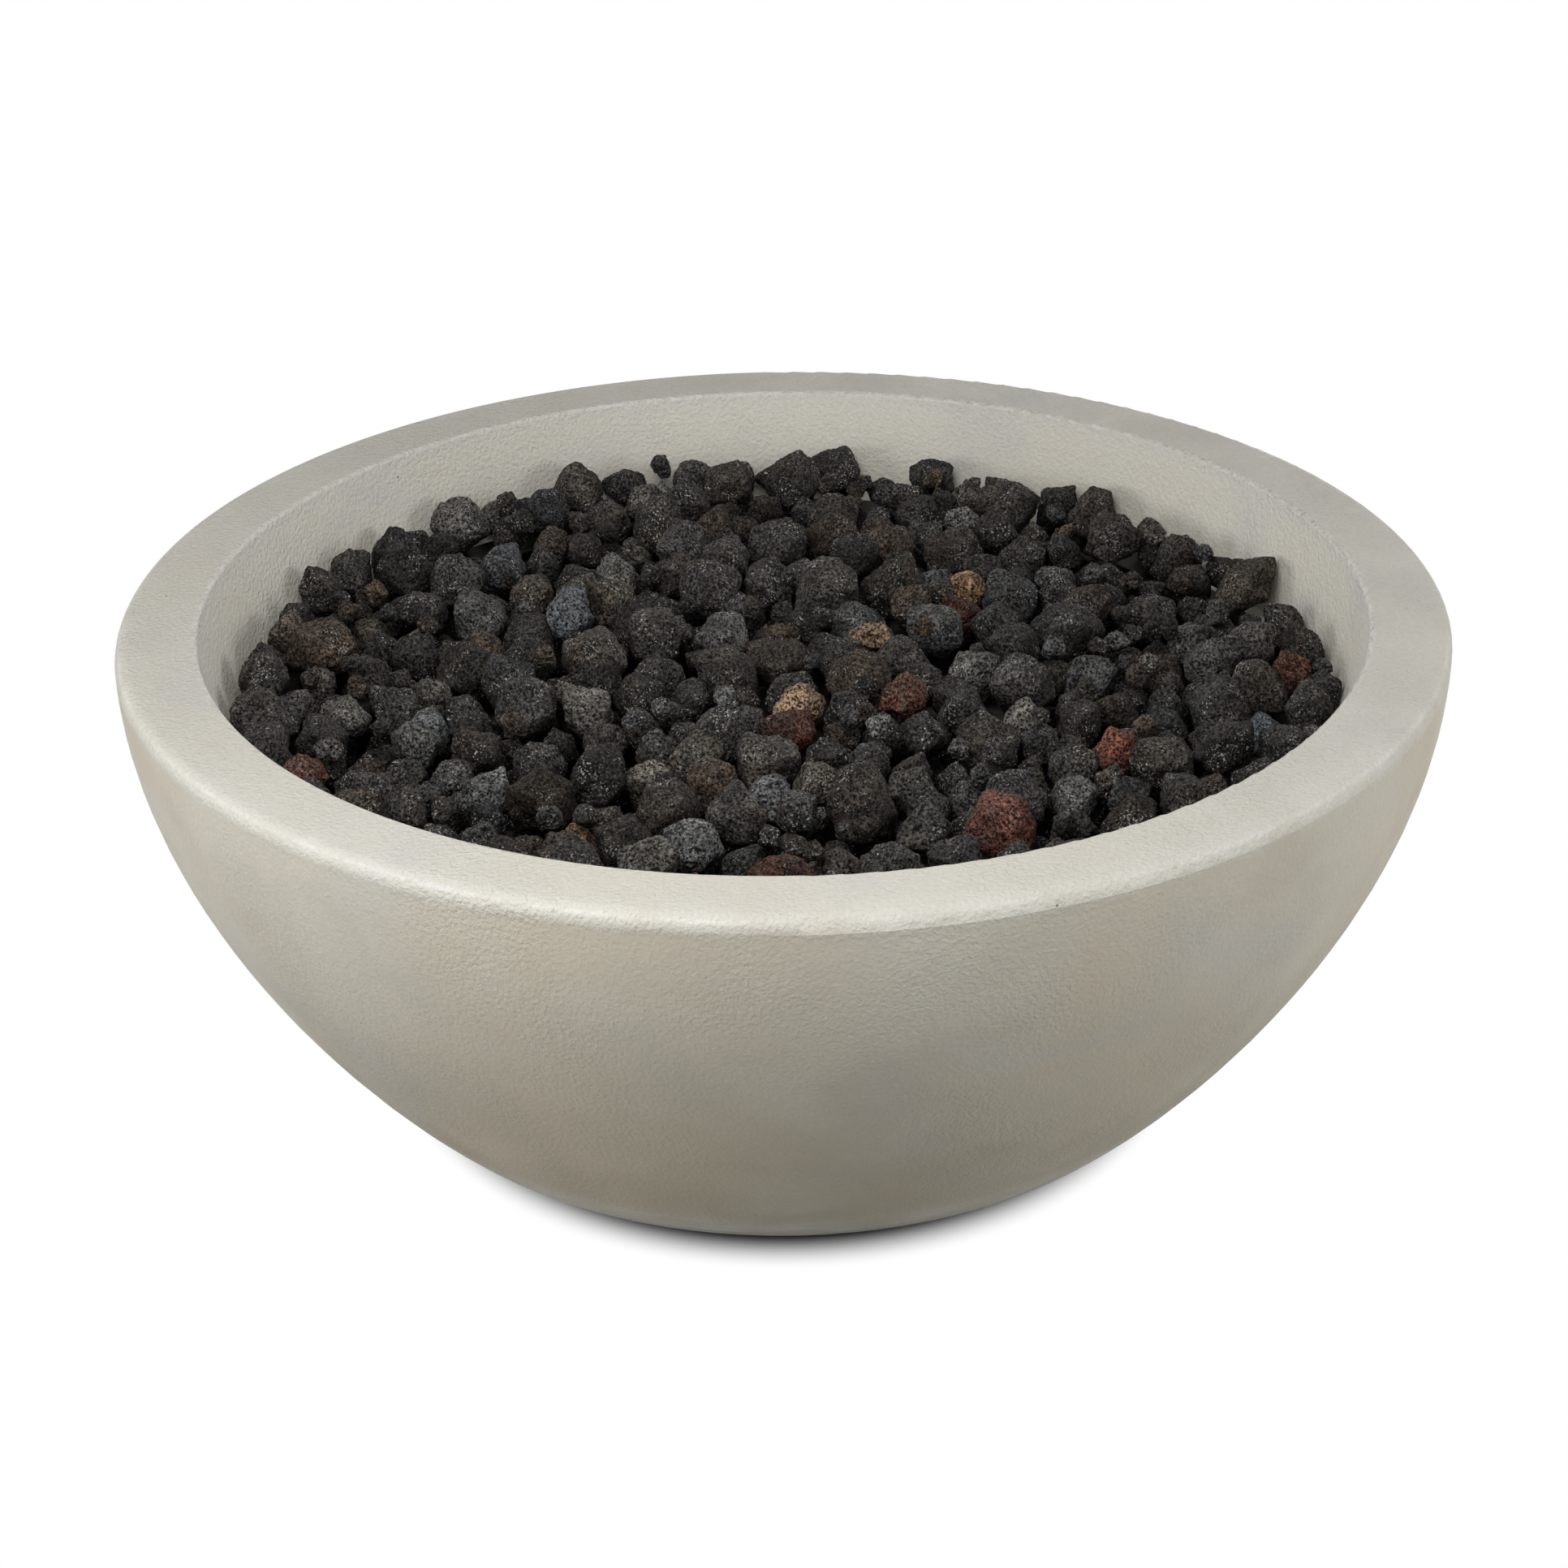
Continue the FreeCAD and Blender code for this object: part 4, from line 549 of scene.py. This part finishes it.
# Moulded plastic or rubber with a fine spark-eroded texture
def moulded_material(name, colour, roughness, texture_depth, specular):
    material, tree, shader = new_material(name)
    coords = object_coords(tree)
    texture = noise(tree, coords, 1300.0, 2.0, 0.6)
    wear = noise(tree, coords, 55.0, 4.0, 0.6)
    lighter = tuple(min(1.0, channel * 1.5 + 0.012) for channel in colour)
    base = blend_colours(tree, span(tree, wear, 0.45, 0.75, 0.0, 0.6), colour, lighter)
    tree.links.new(base, shader.inputs["Base Color"])
    rough = span(tree, wear, 0.3, 0.7, roughness - 0.06, roughness + 0.08, False)
    tree.links.new(rough, shader.inputs["Roughness"])
    shader.inputs["Specular IOR Level"].default_value = specular
    bump(tree, shader, texture, 0.4, texture_depth)
    return material


def ceramic_material():
    material, tree, shader = new_material("electrode_ceramic")
    coords = object_coords(tree)
    soot = span(tree, noise(tree, coords, 90.0, 4.0, 0.6), 0.5, 0.75, 0.0, 0.4)
    base = blend_colours(tree, soot, (0.82, 0.80, 0.74), (0.30, 0.26, 0.21))
    tree.links.new(base, shader.inputs["Base Color"])
    tree.links.new(span(tree, soot, 0.0, 0.4, 0.18, 0.5), shader.inputs["Roughness"])
    return material


# The knob's grip carries a white line in its groove
def add_knob_line(material):
    tree = material.node_tree
    shader = tree.nodes["Principled BSDF"]
    x, y, z = split(tree, object_coords(tree))
    in_groove = product(
        tree,
        calc(tree, "LESS_THAN", calc(tree, "ABSOLUTE", x), knob_line_half_width),
        calc(tree, "LESS_THAN", y, knob_line_front),
        calc(tree, "GREATER_THAN", y, knob_line_back),
        calc(tree, "GREATER_THAN", z, knob_line_foot),
    )
    plain = shader.inputs["Base Color"].links[0].from_socket
    tree.links.new(blend_colours(tree, in_groove, plain, knob_line_colour), shader.inputs["Base Color"])


def make_materials():
    made = {"concrete": concrete_material(), "electrode_ceramic": ceramic_material()}
    for name, look in steel_looks.items():
        made[name] = steel_material(name, *look)
    for name, (low, high, share) in soot_and_shade_spans.items():
        add_soot_and_shade(made[name], low, high, share)
    for name, colour in brass_colours.items():
        made[name] = brass_material(name, colour)
    for name, look in moulded_looks.items():
        made[name] = moulded_material(name, *look)
    add_knob_line(made["knob_plastic"])
    for name, look in lava_looks.items():
        made[name] = lava_material(name, *look)
    return made


def dress_nodes(materials):
    slots = {part["node"]: part["material_slot"] for part in frame["record"]["subparts"]}
    for name, node in frame["nodes"].items():
        node.data.materials.clear()
        node.data.materials.append(materials[slots[name]])
        for polygon in node.data.polygons:
            polygon.material_index = 0
    return slots


# Random number in 0..1 for each whole-numbered place
def lattice(ix, iy, iz, salt):
    mixed = ix * np.uint32(374761393) + iy * np.uint32(668265263) + iz * np.uint32(1440662683)
    mixed = mixed + np.uint32(salt * 362437)
    mixed = (mixed ^ (mixed >> np.uint32(13))) * np.uint32(1274126177)
    mixed = mixed ^ (mixed >> np.uint32(16))
    return mixed.astype(np.float32) / np.float32(4294967295.0)


def corner_of(points):
    floor = np.floor(points)
    return floor.astype(np.int32).astype(np.uint32), (points - floor).astype(np.float32)


# Smooth random field, -1 to 1, with features about one unit wide
def smooth_field(points, salt):
    base, share = corner_of(points)
    ease = share * share * (3.0 - 2.0 * share)
    total = np.zeros(len(points), np.float32)
    for dx in (0, 1):
        for dy in (0, 1):
            for dz in (0, 1):
                weight = np.abs(1 - dx - ease[:, 0]) * np.abs(1 - dy - ease[:, 1])
                weight = weight * np.abs(1 - dz - ease[:, 2])
                value = lattice(
                    base[:, 0] + np.uint32(dx), base[:, 1] + np.uint32(dy), base[:, 2] + np.uint32(dz), salt
                )
                total += weight * value
    return total * 2.0 - 1.0


# Distance to the nearest of randomly placed seeds, one in each unit cell
def seed_distance(points, salt):
    base, share = corner_of(points)
    nearest = np.full(len(points), 9.0, np.float32)
    for dx in (-1, 0, 1):
        for dy in (-1, 0, 1):
            for dz in (-1, 0, 1):
                ix = base[:, 0] + np.uint32(dx % 4294967296)
                iy = base[:, 1] + np.uint32(dy % 4294967296)
                iz = base[:, 2] + np.uint32(dz % 4294967296)
                away_x = dx + lattice(ix, iy, iz, salt) - share[:, 0]
                away_y = dy + lattice(ix, iy, iz, salt + 1) - share[:, 1]
                away_z = dz + lattice(ix, iy, iz, salt + 2) - share[:, 2]
                nearest = np.minimum(nearest, away_x ** 2 + away_y ** 2 + away_z ** 2)
    return np.sqrt(nearest)


# Centre, face normals and face distances of each separate stone in a node's mesh
def stone_hulls(node):
    mesh = node.data
    coords = np.zeros(len(mesh.vertices) * 3)
    mesh.vertices.foreach_get("co", coords)
    coords = coords.reshape(-1, 3)
    mesh.calc_loop_triangles()
    triangles = np.zeros(len(mesh.loop_triangles) * 3, np.int32)
    mesh.loop_triangles.foreach_get("vertices", triangles)
    steps = np.round(coords * weld_steps_per_metre)
    _, first, welded = np.unique(steps, axis=0, return_index=True, return_inverse=True)
    corners = coords[first]
    triangles = welded.reshape(-1)[triangles].reshape(-1, 3)
    labels = np.arange(len(corners))
    while True:
        lowest = labels[triangles].min(axis=1)
        spread = labels.copy()
        for side in range(3):
            np.minimum.at(spread, triangles[:, side], lowest)
        if np.array_equal(spread, labels):
            break
        labels = spread
    hulls = []
    for label in np.unique(labels[triangles[:, 0]]):
        own = triangles[labels[triangles[:, 0]] == label]
        centre = corners[np.unique(own)].mean(axis=0)
        a = corners[own[:, 0]]
        normals = np.cross(corners[own[:, 1]] - a, corners[own[:, 2]] - a)
        lengths = np.linalg.norm(normals, axis=1)
        keep = lengths > least_face_normal
        normals = normals[keep] / lengths[keep][:, None]
        reach = ((a[keep] - centre) * normals).sum(axis=1)
        normals[reach < 0] *= -1
        hulls.append((centre, normals, np.abs(reach)))
    order = sorted(range(len(hulls)), key=lambda i: tuple(np.round(hulls[i][0], 5)))
    return [hulls[i] for i in order]


def unit_vectors(count):
    vectors = rng.normal(size=(count, 3))
    return vectors / np.linalg.norm(vectors, axis=1)[:, None]


def sphere_template(subdivisions):
    bpy.ops.mesh.primitive_ico_sphere_add(subdivisions=subdivisions, radius=1.0)
    ball = bpy.context.object
    mesh = ball.data
    directions = np.zeros(len(mesh.vertices) * 3)
    mesh.vertices.foreach_get("co", directions)
    faces = np.zeros(len(mesh.polygons) * 3, np.int32)
    mesh.polygons.foreach_get("vertices", faces)
    bpy.data.objects.remove(ball)
    directions = directions.reshape(-1, 3)
    return directions / np.linalg.norm(directions, axis=1)[:, None], faces.reshape(-1, 3)


# Distance to the surface in each direction: the solid's planes rounded together and chips cut off.
# Gives the stone's mean radius too.
def faceted_radius(hull, directions):
    _, normals, reach = hull
    lean = np.maximum(directions @ normals.T, 0.0) / np.maximum(reach, least_plane_reach)
    middle = (1.0 / lean.max(axis=1)).mean()
    chip_normals = unit_vectors(chip_count)
    chip_reach = middle * rng.uniform(*chip_reach_range, chip_count)
    chips = np.maximum(directions @ chip_normals.T, 0.0) / chip_reach
    every = np.concatenate([lean, chips], axis=1)
    radius = (every ** facet_sharpness).sum(axis=1) ** (-1.0 / facet_sharpness) * stone_growth
    return radius, middle


def add_dents(radius, directions):
    for dent in unit_vectors(dent_count):
        width = rng.uniform(*dent_width_range)
        depth = rng.uniform(*dent_depth_range)
        turn = np.arccos(np.clip(directions @ dent, -1.0, 1.0))
        radius *= 1.0 - depth * np.exp(-(turn / width) ** 2)


# Surface of one stone with its dents, lumps, ridges, pits and grain, and how hollow each point lies
def stone_surface(hull, directions):
    radius, middle = faceted_radius(hull, directions)
    add_dents(radius, directions)
    shift = rng.uniform(*field_shift_range, 3)
    points = directions * radius[:, None] + shift
    for salt, (height, width) in enumerate(lumps, 11):
        radius += middle * height * smooth_field(points / (middle * width), salt)
    ridges = 1.0 - np.abs(smooth_field(points / (middle * ridge_width), 13))
    radius += middle * ridge_height * (ridges - ridge_middle)
    spacing = rng.uniform(*pit_spacing_range)
    holes = np.clip(1.0 - seed_distance(points / spacing, 31) / pit_width, 0.0, 1.0)
    holes = holes * holes * (3.0 - 2.0 * holes)
    radius -= pit_depth * rng.uniform(*pit_depth_range) * holes
    radius += grain_depth * smooth_field(points / grain_width, 14)
    return hull[0] + directions * radius[:, None], holes


# Colour shift of one stone, as red, green, blue factors
def stone_tint(kind):
    level = float(np.clip(rng.normal(1.0, tint_level_spread), *tint_level_range))
    warmth = float(rng.normal(tint_warmth, tint_warmth_spread))
    # Painted shade: the lower layer is darker, so the gaps between the top stones look dark
    if kind == "lower":
        level *= lower_stone_shade_level
    if kind in ("rust", "tan"):
        return (level * (1 + warmth), level, level * (1 - warmth))
    if rng.random() < cool_share:
        warmth = -cool_strength * abs(warmth)
    green = level * (1 + green_warmth * warmth)
    blue = level * (1 - blue_warmth * warmth)
    return (level * (1 + warmth), green, blue)


def build_mesh(name, points, faces, colours, hollows):
    mesh = bpy.data.meshes.new(name)
    mesh.vertices.add(len(points))
    mesh.vertices.foreach_set("co", points.astype(np.float32).ravel())
    mesh.loops.add(len(faces) * 3)
    mesh.loops.foreach_set("vertex_index", faces.astype(np.int32).ravel())
    mesh.polygons.add(len(faces))
    mesh.polygons.foreach_set("loop_start", np.arange(0, len(faces) * 3, 3, dtype=np.int32))
    mesh.polygons.foreach_set("use_smooth", np.ones(len(faces), bool))
    mesh.update(calc_edges=True)
    mesh.validate()
    tint = mesh.attributes.new("tint", "FLOAT_COLOR", "POINT")
    tint.data.foreach_set("color", colours.astype(np.float32).ravel())
    hollow = mesh.attributes.new("hollow", "FLOAT", "POINT")
    hollow.data.foreach_set("value", hollows.astype(np.float32))
    return mesh


def stone_piece(name, node_name, hulls, template, kind, material):
    directions, faces = template
    points = []
    all_faces = []
    colours = []
    hollows = []
    for i, hull in enumerate(hulls):
        surface, holes = stone_surface(hull, directions)
        points.append(surface)
        all_faces.append(faces + i * len(directions))
        colours.append(np.tile(np.array([*stone_tint(kind), 1.0]), (len(directions), 1)))
        hollows.append(holes)
    mesh = build_mesh(name, *(np.concatenate(rows) for rows in (points, all_faces, colours, hollows)))
    mesh.materials.append(material)
    piece = bpy.data.objects.new(name, mesh)
    bpy.context.scene.collection.objects.link(piece)
    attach(piece, "bowl")
    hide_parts(node_name)


def make_stones(materials, slots):
    visible = sphere_template(visible_subdivisions)
    lower = sphere_template(lower_subdivisions)
    for kind in ("charcoal", "grey", "brown", "rust", "tan", "lower"):
        node_name = "lava_stones_" + kind
        slot = slots[node_name]
        hulls = stone_hulls(frame["nodes"][node_name])
        template = lower if kind == "lower" else visible
        per_piece = lower_stones_per_piece if kind == "lower" else stones_per_piece
        for number, start in enumerate(range(0, len(hulls), per_piece)):
            name = "lava_" + kind + "_" + str(number + 1)
            some = hulls[start:start + per_piece]
            stone_piece(name, node_name, some, template, kind, materials[slot])


# 1 for the rays that should see a white background: from the camera, mirrored, or through glass
def background_rays(tree):
    path = tree.nodes.new("ShaderNodeLightPath")
    seen = calc(tree, "MAXIMUM", path.outputs["Is Camera Ray"], path.outputs["Is Glossy Ray"])
    return calc(tree, "MAXIMUM", seen, path.outputs["Is Transmission Ray"])


# Floor with a painted shadow: dark under the bowl, turning to plain white away from it
def make_floor():
    material, tree, shader = new_material("floor_white")
    half = floor_size / 2
    mesh = bpy.data.meshes.new("floor")
    corners = [(-half, -half, 0), (half, -half, 0), (half, half, 0), (-half, half, 0)]
    mesh.from_pydata(corners, [], [(0, 1, 2, 3)])
    floor = bpy.data.objects.new("floor", mesh)
    bpy.context.scene.collection.objects.link(floor)
    shader.inputs["Roughness"].default_value = floor_roughness
    shader.inputs["Specular IOR Level"].default_value = 0.0
    x, y, _ = split(tree, object_coords(tree))
    away = length_of(tree, product(tree, x, floor_shadow_squeeze), y)
    clear = span(tree, away, floor_shadow_radius, floor_white_radius)
    # Painted shadow: the floor's colour darkens under the bowl
    level = span(tree, away, floor_shadow_radius, floor_white_radius, floor_painted_shadow_level, floor_pale_level)
    tree.links.new(grey_colour(tree, level), shader.inputs["Base Color"])
    white = tree.nodes.new("ShaderNodeEmission")
    mixed = tree.nodes.new("ShaderNodeMixShader")
    tree.links.new(product(tree, background_rays(tree), clear), mixed.inputs["Fac"])
    tree.links.new(shader.outputs["BSDF"], mixed.inputs[1])
    tree.links.new(white.outputs["Emission"], mixed.inputs[2])
    tree.links.new(mixed.outputs["Shader"], tree.nodes["Material Output"].inputs["Surface"])
    mesh.materials.append(material)


def make_world():
    world = bpy.data.worlds.new("studio")
    bpy.context.scene.world = world
    world.use_nodes = True
    tree = world.node_tree
    background = tree.nodes["Background"]
    background.inputs["Color"].default_value = (1.0, 1.0, 1.0, 1.0)
    level = span(tree, background_rays(tree), 0.0, 1.0, world_level, 1.0, False)
    tree.links.new(level, background.inputs["Strength"])


def area_light(name, place, aim, size, power):
    data = bpy.data.lights.new(name, "AREA")
    data.shape = "DISK"
    data.size = size
    data.energy = power
    lamp = bpy.data.objects.new(name, data)
    lamp.visible_camera = False
    lamp.location = place
    lamp.rotation_euler = (Vector(aim) - Vector(place)).to_track_quat("-Z", "Y").to_euler()
    bpy.context.scene.collection.objects.link(lamp)


def make_lights():
    for lamp in lamps:
        area_light(*lamp)


def make_camera():
    data = bpy.data.cameras.new("camera")
    data.sensor_width = camera_sensor
    data.lens = camera_lens
    data.clip_start = camera_near
    data.clip_end = camera_far
    camera = bpy.data.objects.new("camera", data)
    place = Vector(camera_place)
    turn = (Vector(camera_aim) - place).to_track_quat("-Z", "Y")
    turn = turn @ Quaternion((0.0, 0.0, 1.0), math.radians(camera_roll_degrees))
    camera.matrix_world = Matrix.Translation(place) @ turn.to_matrix().to_4x4()
    bpy.context.scene.collection.objects.link(camera)
    bpy.context.scene.camera = camera


def main():
    bpy.context.scene.view_settings.view_transform = "Standard"
    materials = make_materials()
    slots = dress_nodes(materials)
    make_stones(materials, slots)
    make_floor()
    make_world()
    make_lights()
    make_camera()


main()
